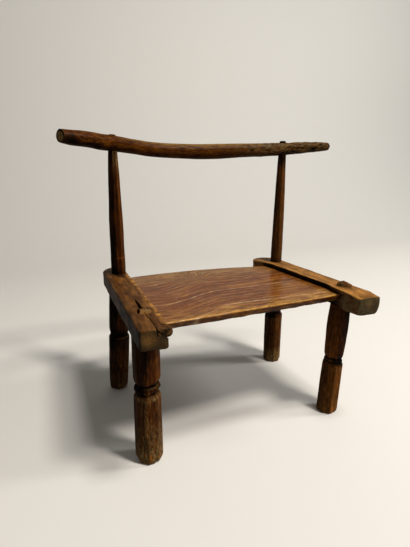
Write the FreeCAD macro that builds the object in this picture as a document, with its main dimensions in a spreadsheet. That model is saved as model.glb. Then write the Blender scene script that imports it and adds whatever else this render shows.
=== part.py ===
"""A low West African birthing chair, carved and pegged together from hardwood.

Two thick side rails lie front to back. Each is carried by a front leg, whose tenon
comes up through the rail and is wedged there, and by a rear leg, which runs on through
the rail as the tapered back post. The seat board is housed in both rails, and a bowed
crest rail is pushed down over the two posts.

Millimetres, +Z up, +Y to the back. Left and right are meant as seen from the front, so
+X points to the right. The origin is on the floor, at the middle of the chair's outline
seen from above.
"""
import FreeCAD, Part
import math
import os
import Sketcher

from FreeCAD import Placement, Rotation, Vector

doc = FreeCAD.newDocument("BirthingChair")

# The sheet of driving sizes

OCTAGON = 8

SIZES = [
    # Fits that the whole chair shares
    ("fit_gap", 0.2, "play round a tenon or a tongue in its hole"),
    ("overrun", 6, "how far a cutting form runs past what it cuts"),
    ("corner_share", 1 / math.cos(math.pi / OCTAGON), "octagon: corner radius over flat radius"),

    # Left rail, a straight bar
    ("left_rail_x", -200.5, "middle line of the left rail"),
    ("left_rail_width", 52, ""),
    ("left_rail_top", 267, "height of the rail's upper face"),
    ("left_rail_thick", 34, ""),
    ("left_rail_front_y", -201, ""),
    ("left_rail_rear_y", 180, "where the rounded tail begins"),
    ("left_rail_tail", 19, "how far the tail rounds out"),

    # Right rail, toed out towards the front, its tail flared inwards
    ("right_rail_front_inner_x", 182, ""),
    ("right_rail_front_outer_x", 229, ""),
    ("right_rail_flare_x", 156.5, "where the tail begins to flare inwards"),
    ("right_rail_flare_y", 122, ""),
    ("right_rail_rear_inner_x", 142.5, "inner corner of the tail"),
    ("right_rail_rear_inner_y", 156, ""),
    ("right_rail_tip_x", 177, "the tail's furthest point"),
    ("right_rail_tip_y", 173.5, ""),
    ("right_rail_rear_outer_x", 207.5, "outer corner of the tail"),
    ("right_rail_rear_outer_y", 141, ""),
    ("right_rail_hollow", 4, "how far the inner side is hewn hollow"),
    ("right_rail_top", 264.5, ""),
    ("right_rail_thick", 36, ""),
    ("right_rail_front_y", -184, ""),

    # Worn edges of both rails
    ("rail_corner", 8, "rounding of the upright edges"),
    ("rail_arris", 6, "bevel of the upper and lower edges"),

    # Seat board
    ("seat_top", 254, ""),
    ("seat_thick", 12, ""),
    ("seat_front_left_y", -149, ""),
    ("seat_front_right_y", -128, ""),
    ("seat_rear_left_y", 143, ""),
    ("seat_rear_right_y", 124, ""),
    ("seat_rear_bow", 18, "how far the rear edge curves out"),
    ("seat_tongue", 4, "depth of the housing in each rail"),
    ("seat_nose", 4, "rounding of the front edge"),
    ("seat_dish", 1.8, "depth of the hollow worn in the board"),
    ("seat_dish_width", 250, "across the hollow"),

    # What the four legs share
    ("foot_wear", 4, "bevel worn round the edge of the sole"),
    ("groove_height", 4, "flat floor of each groove"),
    ("bead_height", 7, "ring between the two grooves"),
    ("bead_edge", 1.5, "slope at the ring's edges"),
    ("notch_slope", 6, "height of the slope out of each groove"),

    # Front left leg
    ("front_left_foot_x", -203, ""),
    ("front_left_foot_y", -131.5, ""),
    ("front_left_head_x", -199.5, ""),
    ("front_left_head_y", -119, ""),
    ("front_left_foot_width", 45.5, ""),
    ("front_left_lower_width", 43.5, "just under the notch"),
    ("front_left_groove_width", 34.5, ""),
    ("front_left_bead_width", 40.5, ""),
    ("front_left_upper_width", 43, "just over the notch"),
    ("front_left_belly_width", 43.5, "half way up to the rail"),
    ("front_left_head_width", 42.5, "at the rail"),
    ("front_left_bead_z", 133, ""),
    ("front_left_turn", 10, "degrees"),
    ("front_left_tenon_x", -199.5, ""),
    ("front_left_tenon_y", -118, ""),
    ("front_left_tenon_width", 26, ""),
    ("front_left_nub", 2, "how far the tenon's end stands over the rail"),

    # Front right leg
    ("front_right_foot_x", 178.5, ""),
    ("front_right_foot_y", -123.5, ""),
    ("front_right_head_x", 200.5, ""),
    ("front_right_head_y", -113, ""),
    ("front_right_foot_width", 41, ""),
    ("front_right_lower_width", 40.5, ""),
    ("front_right_groove_width", 33, ""),
    ("front_right_bead_width", 36, ""),
    ("front_right_upper_width", 37, ""),
    ("front_right_belly_width", 41.5, ""),
    ("front_right_head_width", 38.5, ""),
    ("front_right_bead_z", 114, ""),
    ("front_right_turn", 4, ""),
    ("front_right_tenon_x", 206, ""),
    ("front_right_tenon_y", -112.5, ""),
    ("front_right_tenon_width", 28, ""),
    ("front_right_nub", 11.5, ""),

    # Rear left leg and post
    ("rear_left_foot_x", -211, ""),
    ("rear_left_foot_y", 130, ""),
    ("rear_left_head_x", -195.5, "the post stands on this spot too"),
    ("rear_left_head_y", 141, ""),
    ("rear_left_foot_width", 39, ""),
    ("rear_left_lower_width", 43.5, ""),
    ("rear_left_groove_width", 36, ""),
    ("rear_left_bead_width", 40, ""),
    ("rear_left_upper_width", 42, ""),
    ("rear_left_belly_width", 43.5, ""),
    ("rear_left_head_width", 42, ""),
    ("rear_left_bead_z", 130, ""),
    ("rear_left_turn", 0, ""),
    ("rear_left_neck_width", 30.5, "through the rail"),
    ("rear_left_tip_x", -193, "middle of the post at the crest"),
    ("rear_left_tip_y", 147, ""),
    ("rear_left_tip_width", 18.5, ""),
    ("rear_left_peg_width", 15.5, "the tenon through the crest"),

    # Rear right leg and post
    ("rear_right_foot_x", 188.5, ""),
    ("rear_right_foot_y", 121, ""),
    ("rear_right_head_x", 190.5, ""),
    ("rear_right_head_y", 123.5, ""),
    ("rear_right_foot_width", 41.5, ""),
    ("rear_right_lower_width", 42.5, ""),
    ("rear_right_groove_width", 35, ""),
    ("rear_right_bead_width", 39.5, ""),
    ("rear_right_upper_width", 41.5, ""),
    ("rear_right_belly_width", 42.5, ""),
    ("rear_right_head_width", 41, ""),
    ("rear_right_bead_z", 132, ""),
    ("rear_right_turn", 6, ""),
    ("rear_right_neck_width", 26.5, ""),
    ("rear_right_tip_x", 194.5, ""),
    ("rear_right_tip_y", 124, ""),
    ("rear_right_tip_width", 16.5, ""),
    ("rear_right_peg_width", 14.5, ""),

    # Crest rail
    ("crest_left_reach", 105, "from the left post to the left end"),
    ("crest_right_reach", 98, "from the right post to the right end"),
    ("crest_bow", 28, "how far it bows back between the posts"),
    ("crest_middle_z", 524.8, "the lowest stretch, between the posts"),
    ("crest_left_z", 537.5, "over the left post"),
    ("crest_right_z", 531.5, "over the right post"),
    ("crest_left_end_z", 549.5, ""),
    ("crest_right_end_z", 537.5, ""),
    ("crest_left_end_width", 25, ""),
    ("crest_left_width", 31, "over the left post"),
    ("crest_middle_width", 33.5, ""),
    ("crest_right_width", 28.5, "over the right post"),
    ("crest_right_end_width", 21, ""),
    ("crest_left_edge", 2.5, "small bevel round the cut end"),
    ("crest_right_edge", 5, "rounding of the worn end"),
    ("crest_housing", 2, "how deep the posts' shoulders sit in the crest"),
    ("peg_dome", 4, "how far the pegs stand over the crest"),

    # Wedges of the front tenons
    ("wedge_thick", 3.2, "at its upper end"),
    ("wedge_tip", 0.8, "at its lower end"),
    ("wedge_length", 24, ""),
    ("wedge_proud", 1, "how far it stands over the tenon's end"),
    ("wedge_width_share", 0.94, "of the tenon's width"),
    ("worn_end_share", 0.6, "width of a worn tenon end's crown over the tenon's width"),
]

sheet = doc.addObject("Spreadsheet::Sheet", "Sizes")
for row, (name, value, meaning) in enumerate(SIZES, start=1):
    sheet.set(f"A{row}", name)
    sheet.set(f"B{row}", str(value))
    sheet.set(f"C{row}", meaning)
    sheet.setAlias(f"B{row}", name)
doc.recompute()


def size(name):
    """The value of one cell of the sheet."""
    return float(sheet.get(name))


ALIASES = [name for name, value, meaning in SIZES]


def derive(name, formula):
    """Add a cell that is worked out from other cells."""
    ALIASES.append(name)
    row = len(ALIASES)
    sheet.set(f"A{row}", name)
    sheet.set(f"B{row}", "=" + formula)
    sheet.setAlias(f"B{row}", name)
    sheet.recompute()
    return name


def bind(obj, **formulas):
    """Tie properties of an object to cells, such as Length="seat_thick / 2"."""
    for prop, formula in formulas.items():
        obj.setExpression(prop.replace("__", "."), tie(formula))
    return obj


def tie(formula):
    """Put the sheet's name before each alias in a formula."""
    words = formula.replace("(", "( ").replace(")", " )").split()
    return " ".join("Sizes." + word if word in ALIASES else word for word in words)


def fuse(name, *shapes):
    union = doc.addObject("Part::MultiFuse", name)
    union.Shapes = list(shapes)
    return union


def cut(name, base, *tools):
    """Take the tools away from the base, one tool or a union of them."""
    result = doc.addObject("Part::Cut", name)
    result.Base = base
    result.Tool = tools[0] if len(tools) == 1 else fuse(name + "_tools", *tools)
    return result


def loft(name, sections, ruled=True):
    skin = doc.addObject("Part::Loft", name)
    skin.Sections = sections
    skin.Solid = True
    skin.Ruled = ruled
    return skin


def octagon(name, width, x, y, z, turn="0"):
    """A level octagon: width across its flats, place of its middle, turn in degrees."""
    ring = doc.addObject("Part::RegularPolygon", name)
    ring.Polygon = OCTAGON
    bind(ring, Circumradius=f"( {width} ) / 2 * corner_share", Placement__Base__x=x,
         Placement__Base__y=y, Placement__Base__z=z)
    bind(ring, Placement__Rotation__Angle=f"( {turn} ) * 1 deg")
    return ring


def post_cylinder(name, width, x, y, bottom, top):
    """An upright round bar between two levels."""
    bar = doc.addObject("Part::Cylinder", name)
    return bind(bar, Radius=f"( {width} ) / 2", Height=f"( {top} ) - ( {bottom} )",
                Placement__Base__x=x, Placement__Base__y=y, Placement__Base__z=bottom)


def worn_end(name, width, rise, x, y, z):
    """The low crown of a tenon whose end is worn off all round."""
    crown = doc.addObject("Part::Cone", name)
    return bind(crown, Radius1=f"( {width} ) / 2", Radius2=f"( {width} ) / 2 * worn_end_share", Height=rise,
                Placement__Base__x=x, Placement__Base__y=y, Placement__Base__z=z)


# Sketched outlines

def outline(body, name, corners, arcs):
    """A closed outline in the body's level plane.

    corners are pairs of cell names, in order. arcs gives, for a side that is curved, the
    pair of cells of a point that it passes through; side 0 joins corners 0 and 1.
    """
    sketch = body.newObject("Sketcher::SketchObject", name)
    plane = next(f for f in body.Origin.OriginFeatures if f.Role == "XY_Plane")
    sketch.AttachmentSupport = (plane, [""])
    sketch.MapMode = "FlatFace"
    points = [Vector(size(x), size(y), 0) for x, y in corners]
    ends = []
    for side, start in enumerate(points):
        finish = points[(side + 1) % len(points)]
        if side in arcs:
            middle = Vector(size(arcs[side][0]), size(arcs[side][1]), 0)
            # A sketch holds every arc counter-clockwise, so one drawn clockwise is swapped.
            forward = (middle - start).cross(finish - middle).z > 0
            first, last = (start, finish) if forward else (finish, start)
            edge = sketch.addGeometry(level_arc(first, middle, last), False)
            ends.append((edge, 1, 2) if forward else (edge, 2, 1))
        else:
            edge = sketch.addGeometry(Part.LineSegment(start, finish), False)
            ends.append((edge, 1, 2))
    for side, (edge, first, last) in enumerate(ends):
        following = ends[(side + 1) % len(ends)]
        sketch.addConstraint(Sketcher.Constraint("Coincident", edge, last, following[0], following[1]))
    for side, (x, y) in enumerate(corners):
        edge, first, last = ends[side]
        pin(sketch, edge, first, x, y)
    for side, (x, y) in arcs.items():
        edge, first, last = ends[side]
        mark = sketch.addGeometry(Part.Point(Vector(size(x), size(y), 0)), True)
        pin(sketch, mark, 1, x, y)
        sketch.addConstraint(Sketcher.Constraint("PointOnObject", mark, 1, edge))
    return sketch


def level_arc(first, middle, last):
    """The counter-clockwise arc of a level circle through three points."""
    centre = Part.Circle(first, middle, last).Center
    circle = Part.Circle(centre, Vector(0, 0, 1), centre.distanceToPoint(first))
    angles = [math.atan2(p.y - centre.y, p.x - centre.x) for p in (first, last)]
    if angles[1] < angles[0]:
        angles[1] += 2 * math.pi
    return Part.ArcOfCircle(circle, *angles)


def pin(sketch, geometry, end, x, y):
    """Fix one point of a sketch at two cells' values from the origin."""
    origin = -1
    for kind, cell in (("DistanceX", x), ("DistanceY", y)):
        number = sketch.addConstraint(Sketcher.Constraint(kind, origin, 1, geometry, end, size(cell)))
        label = f"{kind}_{geometry}_{end}"
        sketch.renameConstraint(number, label)
        sketch.setExpression("Constraints." + label, "Sizes." + cell)


def board(name, corners, arcs, bottom, thick):
    """A body padded up from an outline, from one level through a thickness."""
    body = doc.addObject("PartDesign::Body", name)
    sketch = outline(body, name + "_outline", corners, arcs)
    bind(sketch, AttachmentOffset__Base__z=bottom)
    pad = body.newObject("PartDesign::Pad", name + "_pad")
    pad.Profile = sketch
    bind(pad, Length=thick)
    doc.recompute()
    return body


def soften_edges(body, kind, name, amount, wanted):
    """Fillet or chamfer the edges of the body's tip that pass the test wanted(edge)."""
    base = body.Tip
    chosen = [f"Edge{i}" for i, edge in enumerate(base.Shape.Edges, start=1) if wanted(edge)]
    feature = body.newObject("PartDesign::" + kind, name)
    feature.Base = (base, chosen)
    bind(feature, **{"Radius" if kind == "Fillet" else "Size": amount})
    doc.recompute()
    return feature


def upright(edge):
    box = edge.BoundBox
    return box.ZLength > max(box.XLength, box.YLength)


def ahead_of(edge, y):
    return edge.BoundBox.YMax < y


# Side rails: hewn bars with a rounded tail, every edge worn off

def side_rail(side, corners, hollow):
    name = side + "_rail"
    derive(name + "_bottom", f"{name}_top - {name}_thick")
    body = board(name + "_bar", corners, hollow, name + "_bottom", name + "_thick")
    soften_edges(body, "Fillet", name + "_corners", "rail_corner", upright)
    soften_edges(body, "Chamfer", name + "_arrises", "rail_arris", lambda e: not upright(e))
    return body


derive("left_rail_inner_x", "left_rail_x + left_rail_width / 2")
derive("left_rail_outer_x", "left_rail_x - left_rail_width / 2")
derive("left_rail_tip_y", "left_rail_rear_y + left_rail_tail")
left_bar = side_rail("left", [
    ("left_rail_inner_x", "left_rail_front_y"),
    ("left_rail_inner_x", "left_rail_rear_y"),
    ("left_rail_outer_x", "left_rail_rear_y"),
    ("left_rail_outer_x", "left_rail_front_y"),
], {1: ("left_rail_x", "left_rail_tip_y")})

derive("right_rail_waist_x", "( right_rail_front_inner_x + right_rail_flare_x ) / 2 + right_rail_hollow")
derive("right_rail_waist_y", "( right_rail_front_y + right_rail_flare_y ) / 2")
right_bar = side_rail("right", [
    ("right_rail_front_inner_x", "right_rail_front_y"),
    ("right_rail_front_outer_x", "right_rail_front_y"),
    ("right_rail_rear_outer_x", "right_rail_rear_outer_y"),
    ("right_rail_rear_inner_x", "right_rail_rear_inner_y"),
    ("right_rail_flare_x", "right_rail_flare_y"),
], {2: ("right_rail_tip_x", "right_rail_tip_y"),
    4: ("right_rail_waist_x", "right_rail_waist_y")})


# Seat board: one plank with a curved rear edge, its two sides let into the rails

def inner_side_x(y):
    """The straight line between the ends of the right rail's inner side, at a given y."""
    return (f"right_rail_front_inner_x + ( right_rail_flare_x - right_rail_front_inner_x )"
            f" * ( {y} - right_rail_front_y ) / ( right_rail_flare_y - right_rail_front_y )")


def seat_board(name, grow):
    """The plank, or with grow the space that it takes up in the rails."""
    g = f"{grow} * fit_gap"
    left = derive(name + "_left_x", f"left_rail_inner_x - seat_tongue + fit_gap - {g}")
    front_left = derive(name + "_front_left_y", f"seat_front_left_y - {g}")
    front_right = derive(name + "_front_right_y", f"seat_front_right_y - {g}")
    rear_left = derive(name + "_rear_left_y", f"seat_rear_left_y + {g}")
    rear_right = derive(name + "_rear_right_y", f"seat_rear_right_y + {g}")
    inset = f"right_rail_hollow + seat_tongue - fit_gap + {g}"
    right_front = derive(name + "_right_front_x", inner_side_x("seat_front_right_y") + f" + {inset}")
    right_rear = derive(name + "_right_rear_x", inner_side_x("seat_rear_right_y") + f" + {inset}")
    middle_x = derive(name + "_middle_x", f"( {left} + {right_rear} ) / 2")
    middle_y = derive(name + "_middle_y", f"( {rear_left} + {rear_right} ) / 2 + seat_rear_bow")
    bottom = derive(name + "_bottom", "seat_top - seat_thick")
    return board(name, [(left, front_left), (right_front, front_right), (right_rear, rear_right),
                        (left, rear_left)], {2: (middle_x, middle_y)}, bottom, "seat_thick")


plank = seat_board("seat_plank", 0)
seat_space = seat_board("seat_space", 1)

middle_of_seat = (size("seat_front_left_y") + size("seat_rear_left_y")) / 2
soften_edges(plank, "Fillet", "seat_nosing", "seat_nose", lambda e: not upright(e) and ahead_of(e, middle_of_seat))

derive("seat_dish_radius", "( seat_dish_width ^ 2 / 4 + seat_dish ^ 2 ) / ( 2 * seat_dish )")
dish = doc.addObject("Part::Sphere", "seat_hollow")
bind(dish, Radius="seat_dish_radius",
     Placement__Base__x="( seat_plank_left_x + seat_plank_right_front_x ) / 2",
     Placement__Base__y="( seat_front_left_y + seat_rear_left_y ) / 2",
     Placement__Base__z="seat_top - seat_dish + seat_dish_radius")
seat = cut("seat_board", plank, dish)


# Legs: eight-sided, with a ring between two grooves at half height

def leg_shaft(leg, rail):
    """The part of a leg below its rail, lofted level by level from sole to shoulder."""
    shoulder = rail + "_bottom"
    half_bead = "bead_height / 2"
    bead = f"{leg}_bead_z"
    levels = [
        ("0", f"{leg}_foot_width - 2 * foot_wear"),
        ("foot_wear", f"{leg}_foot_width"),
        (f"{bead} - {half_bead} - groove_height - notch_slope", f"{leg}_lower_width"),
        (f"{bead} - {half_bead} - groove_height", f"{leg}_groove_width"),
        (f"{bead} - {half_bead}", f"{leg}_groove_width"),
        (f"{bead} - {half_bead} + bead_edge", f"{leg}_bead_width"),
        (f"{bead} + {half_bead} - bead_edge", f"{leg}_bead_width"),
        (f"{bead} + {half_bead}", f"{leg}_groove_width"),
        (f"{bead} + {half_bead} + groove_height", f"{leg}_groove_width"),
        (f"{bead} + {half_bead} + groove_height + notch_slope", f"{leg}_upper_width"),
        (f"( {bead} + {shoulder} ) / 2 + notch_slope", f"{leg}_belly_width"),
        (shoulder, f"{leg}_head_width"),
    ]
    rings = []
    for number, (level, width) in enumerate(levels):
        x = f"{leg}_foot_x + ( {leg}_head_x - {leg}_foot_x ) * ( {level} ) / {shoulder}"
        y = f"{leg}_foot_y + ( {leg}_head_y - {leg}_foot_y ) * ( {level} ) / {shoulder}"
        rings.append(octagon(f"{leg}_ring_{number}", width, x, y, level, f"{leg}_turn"))
    return loft(leg + "_shaft", rings)


def wedge(name, leg, rail, width):
    """A flat wedge across a tenon, square to the rail: its thin edge points down."""
    top = f"{rail}_top + {leg}_nub + wedge_proud"
    piece = doc.addObject("Part::Wedge", name)
    piece.Placement = Placement(Vector(0, 0, 0), Rotation(Vector(1, 0, 0), 90))
    bind(piece, Xmin=f"0 - ( {width} ) / 2", Xmax=f"( {width} ) / 2",
         X2min=f"0 - ( {width} ) / 2", X2max=f"( {width} ) / 2",
         Zmin="0 - wedge_tip / 2", Zmax="wedge_tip / 2",
         Z2min="0 - wedge_thick / 2", Z2max="wedge_thick / 2",
         Ymax="wedge_length",
         Placement__Base__x=f"{leg}_tenon_x", Placement__Base__y=f"{leg}_tenon_y",
         Placement__Base__z=f"{top} - wedge_length")
    return piece


def front_leg(side):
    """A front leg with its wedged tenon. Returns the leg, its wedge and its mortise."""
    leg = f"front_{side}"
    rail = f"{side}_rail"
    place = (f"{leg}_tenon_x", f"{leg}_tenon_y")
    tenon = post_cylinder(leg + "_tenon", f"{leg}_tenon_width", *place, f"{rail}_bottom - overrun", f"{rail}_top")
    end = worn_end(leg + "_tenon_end", f"{leg}_tenon_width", f"{leg}_nub", *place, f"{rail}_top")
    whole = fuse(leg + "_blank", leg_shaft(leg, rail), tenon, end)
    kerf = wedge(leg + "_kerf", leg, rail, f"{leg}_tenon_width + 2 * overrun")
    body = cut(leg + "_leg", whole, kerf)
    key = wedge(leg + "_wedge", leg, rail, f"{leg}_tenon_width * wedge_width_share")
    mortise = post_cylinder(leg + "_mortise", f"{leg}_tenon_width + 2 * fit_gap", *place,
                            f"{rail}_bottom - overrun", f"{rail}_top + overrun")
    return body, key, mortise


POST_SHARES = {
    # (share of the way up, share of the way from the neck's width to the tip's width)
    "rear_left": [(0.0, 0.0), (0.28, 0.14), (0.46, 0.16), (0.62, 0.40), (0.78, 0.56), (1.0, 1.0)],
    "rear_right": [(0.0, 0.0), (0.20, 0.06), (0.38, 0.14), (0.57, 0.34), (0.76, 0.58), (1.0, 1.0)],
}


def rear_leg(side):
    """A rear leg that runs on through the rail as the back post.

    Returns the leg, its mortise in the rail and its mortise in the crest.
    """
    leg = f"rear_{side}"
    rail = f"{side}_rail"
    shoulder = derive(leg + "_tip_z", f"crest_{side}_z - crest_{side}_width / 2 + crest_housing")
    place = (f"{leg}_head_x", f"{leg}_head_y")
    tip = (f"{leg}_tip_x", f"{leg}_tip_y")
    neck = post_cylinder(leg + "_neck", f"{leg}_neck_width", *place, f"{rail}_bottom - overrun", f"{rail}_top")
    rings = []
    for number, (up, slim) in enumerate(POST_SHARES[leg]):
        width = f"( {leg}_neck_width + ( {leg}_tip_width - {leg}_neck_width ) * {slim} ) / corner_share"
        if up == 1:
            width = f"{leg}_tip_width"
        x = f"{leg}_head_x + ( {leg}_tip_x - {leg}_head_x ) * {up}"
        y = f"{leg}_head_y + ( {leg}_tip_y - {leg}_head_y ) * {up}"
        z = f"{rail}_top + ( {shoulder} - {rail}_top ) * {up}"
        rings.append(octagon(f"{leg}_post_ring_{number}", width, x, y, z, f"{leg}_turn"))
    post = loft(leg + "_post", rings)
    crest_top = derive(leg + "_peg_z", f"crest_{side}_z + crest_{side}_width / 2")
    peg = post_cylinder(leg + "_peg", f"{leg}_peg_width", *tip, f"{shoulder} - overrun", crest_top)
    end = worn_end(leg + "_peg_end", f"{leg}_peg_width", "peg_dome", *tip, crest_top)
    body = fuse(leg + "_leg_post", leg_shaft(leg, rail), neck, post, peg, end)
    mortise = post_cylinder(leg + "_mortise", f"{leg}_neck_width + 2 * fit_gap", *place,
                            f"{rail}_bottom - overrun", f"{rail}_top + overrun")
    peg_hole = post_cylinder(leg + "_peg_hole", f"{leg}_peg_width + 2 * fit_gap", *tip,
                             f"{shoulder} - overrun", f"{crest_top} + overrun")
    socket = post_cylinder(leg + "_socket", f"{leg}_tip_width * corner_share + 2 * fit_gap", *tip,
                           f"{shoulder} - overrun", shoulder)
    return body, mortise, fuse(leg + "_crest_hole", peg_hole, socket)


front_left, left_wedge, front_left_mortise = front_leg("left")
front_right, right_wedge, front_right_mortise = front_leg("right")
rear_left, rear_left_mortise, left_crest_hole = rear_leg("left")
rear_right, rear_right_mortise, right_crest_hole = rear_leg("right")

left_rail = cut("left_rail", left_bar, front_left_mortise, rear_left_mortise, seat_space)
right_rail = cut("right_rail", right_bar, front_right_mortise, rear_right_mortise, seat_space)


# Crest rail: a naturally bowed stick, thickest in the middle, lofted along its own line

CREST_SHARES = [
    # (stretch, share of its run, share of its rise, share of its change in width)
    ("left", 1.0, 1.0, 1.0),
    ("left", 0.62, 0.82, 0.45),
    ("left", 0.24, 0.30, 0.08),
    ("left", 0.0, 0.0, 0.0),
    ("inner_left", 0.62, 0.42, 0.85),
    ("inner_left", 0.34, 0.10, 0.55),
    ("inner_left", 0.0, 0.0, 0.0),
    ("inner_right", 0.5, 0.36, 0.5),
    ("right", 0.0, 0.0, 0.0),
    ("right", 0.45, 0.48, 0.40),
    ("right", 0.84, 0.90, 0.80),
    ("right", 1.0, 1.0, 1.0),
]


def crest_station(stretch, run, rise, change):
    """Place of the crest, and its width as a formula, at a share of one of its four stretches."""
    left, right = size("rear_left_tip_x"), size("rear_right_tip_x")
    middle = (left + right) / 2
    side = stretch.replace("inner_", "")
    post = left if side == "left" else right
    if stretch.startswith("inner"):
        x = middle + (post - middle) * run
        z = size("crest_middle_z") + (size(f"crest_{side}_z") - size("crest_middle_z")) * rise
        near, far = "crest_middle_width", f"crest_{side}_width"
    else:
        outward = -1 if side == "left" else 1
        x = post + outward * size(f"crest_{side}_reach") * run
        z = size(f"crest_{side}_z") + (size(f"crest_{side}_end_z") - size(f"crest_{side}_z")) * rise
        near, far = f"crest_{side}_width", f"crest_{side}_end_width"
    return Vector(x, crest_y(x), z), f"( {near} + ( {far} - {near} ) * {change} )"


def crest_y(x):
    """How far back the crest runs at x: over both posts, bowed back between them."""
    left = Vector(size("rear_left_tip_x"), size("rear_left_tip_y"), 0)
    right = Vector(size("rear_right_tip_x"), size("rear_right_tip_y"), 0)
    share = (x - left.x) / (right.x - left.x)
    chord = left.y + (right.y - left.y) * share
    return chord + size("crest_bow") * (1 - (2 * share - 1) ** 2)


stations = [crest_station(*row) for row in CREST_SHARES]
line = Part.BSplineCurve()
line.interpolate([place for place, wide in stations])
rings = []
for number, (place, wide) in enumerate(stations):
    along = line.tangent(line.parameter(place))[0]
    yaw = math.degrees(math.atan2(along.y, along.x))
    pitch = math.degrees(math.asin(along.z))
    ring = doc.addObject("Part::RegularPolygon", f"crest_ring_{number}")
    ring.Polygon = OCTAGON
    bind(ring, Circumradius=f"{wide} / 2 * corner_share")
    # The ring's own upright axis is laid along the stick, with a flat facing up.
    turn = Rotation(Vector(0, 0, 1), yaw) * Rotation(Vector(0, 1, 0), 90 - pitch)
    turn = turn * Rotation(Vector(0, 0, 1), 180 / OCTAGON)
    ring.Placement = Placement(place, turn)
    rings.append(ring)
stick = loft("crest_stick", rings, ruled=False)
doc.recompute()


def end_edges(solid, place):
    """Names of the edges of the flat end that lies at a place."""
    face = min(solid.Shape.Faces, key=lambda f: f.CenterOfMass.distanceToPoint(place))
    return [i for i, edge in enumerate(solid.Shape.Edges, start=1)
            if any(edge.isSame(side) for side in face.Edges)]


left_bevel = doc.addObject("Part::Chamfer", "crest_left_bevel")
left_bevel.Base = stick
left_bevel.Edges = [(i, size("crest_left_edge"), size("crest_left_edge"))
                    for i in end_edges(stick, stations[0][0])]
doc.recompute()
right_round = doc.addObject("Part::Fillet", "crest_right_round")
right_round.Base = left_bevel
right_round.Edges = [(i, size("crest_right_edge"), size("crest_right_edge"))
                     for i in end_edges(left_bevel, stations[-1][0])]
doc.recompute()
crest = cut("crest_rail", right_round, left_crest_hole, right_crest_hole)

doc.recompute()

# Each piece is checked, then written out

PIECES = {
    "seat_board": seat,
    "left_rail": left_rail,
    "right_rail": right_rail,
    "front_left_leg": front_left,
    "front_right_leg": front_right,
    "rear_left_leg_post": rear_left,
    "rear_right_leg_post": rear_right,
    "crest_rail": crest,
    "front_left_wedge": left_wedge,
    "front_right_wedge": right_wedge,
}

faulty = [obj.Name for obj in doc.Objects if {"Invalid", "Error"} & set(obj.State)]
for label, piece in PIECES.items():
    piece.Label = label
    if piece.Shape.isNull() or not piece.Shape.isValid() or len(piece.Shape.Solids) != 1:
        faulty.append(label)
if faulty:
    raise RuntimeError("these objects failed: " + ", ".join(faulty))

os.makedirs("parts", exist_ok=True)
for label, piece in PIECES.items():
    piece.Shape.exportStep(f"parts/{label}.step")
    box = piece.Shape.BoundBox
    print(f"{label:22s} volume {piece.Shape.Volume / 1000:8.1f} cm3"
          f"  x {box.XMin:7.1f} {box.XMax:7.1f}  y {box.YMin:7.1f} {box.YMax:7.1f}"
          f"  z {box.ZMin:7.1f} {box.ZMax:7.1f}")
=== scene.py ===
import bmesh
import bpy
import functools
import math
from mathutils import Matrix, Vector, noise


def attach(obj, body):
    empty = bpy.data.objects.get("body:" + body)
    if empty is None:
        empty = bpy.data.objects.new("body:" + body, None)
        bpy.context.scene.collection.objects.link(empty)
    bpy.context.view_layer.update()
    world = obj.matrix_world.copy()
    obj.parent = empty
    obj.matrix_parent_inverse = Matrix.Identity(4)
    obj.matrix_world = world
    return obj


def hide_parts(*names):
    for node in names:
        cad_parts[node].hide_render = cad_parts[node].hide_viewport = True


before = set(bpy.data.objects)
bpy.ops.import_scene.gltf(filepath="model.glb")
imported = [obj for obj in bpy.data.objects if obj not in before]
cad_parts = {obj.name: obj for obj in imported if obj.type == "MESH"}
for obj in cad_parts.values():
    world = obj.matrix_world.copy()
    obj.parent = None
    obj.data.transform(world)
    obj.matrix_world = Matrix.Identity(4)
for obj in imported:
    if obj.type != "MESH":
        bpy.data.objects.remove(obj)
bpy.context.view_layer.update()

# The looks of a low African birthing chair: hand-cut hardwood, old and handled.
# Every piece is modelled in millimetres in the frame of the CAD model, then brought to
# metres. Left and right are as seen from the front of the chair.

MM = 0.001
# The painted attribute holds wear together with painted light and shade
WEAR_AND_LIGHT = "wear"  # the painted attribute that every finish reads
SHARP = math.radians(30)  # edges that turn more than this stay crisp
UP = Vector((0, 0, 1))
noise.seed_set(7)  # so that noise_vector gives the same facets each run


# Colours and shader nodes

def colour(hex_value):
    """An sRGB hex colour as linear RGBA."""
    parts = [int(hex_value[i:i + 2], 16) / 255 for i in (1, 3, 5)]
    linear = [c / 12.92 if c <= 0.04045 else ((c + 0.055) / 1.055) ** 2.4 for c in parts]
    return (*linear, 1.0)


def add(tree, kind, settings=None, inputs=None, out=0):
    """Add a shader node with its settings and links, and give one of its output sockets, if any.

    inputs: a row of values and sockets in the node's own order, or a dictionary of them.
    """
    if isinstance(inputs, tuple):
        inputs = dict(enumerate(inputs))
    node = tree.nodes.new(kind)
    for name, value in (settings or {}).items():
        if name == "stops":
            ends = node.color_ramp.elements
            for _ in range(len(value) - len(ends)):
                ends.new(0.5)
            for end, (place, shade) in zip(ends, value):
                end.position, end.color = place, colour(shade)
        else:
            setattr(node, name, value)
    for name, value in (inputs or {}).items():
        if isinstance(value, bpy.types.NodeSocket):
            tree.links.new(value, node.inputs[name])
        else:
            node.inputs[name].default_value = value
    return node.outputs[out] if node.outputs else None


MATH, MIX, RANGE, VECTOR = "ShaderNodeMath", "ShaderNodeMix", "ShaderNodeMapRange", "ShaderNodeVectorMath"
RAMP, NOISE = "ShaderNodeValToRGB", "ShaderNodeTexNoise"
MAPPING, SPLIT = "ShaderNodeMapping", "ShaderNodeSeparateXYZ"
CLAMPED, SMOOTH = {"use_clamp": True}, {"interpolation_type": "SMOOTHSTEP"}
TIMES, TIMES_PLUS, MINUS, OVER, AMOUNT, LENGTH, FRACTION = [{"operation": name} for name in (
    "MULTIPLY", "MULTIPLY_ADD", "SUBTRACT", "DIVIDE", "ABSOLUTE", "LENGTH", "FRACT")]
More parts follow.
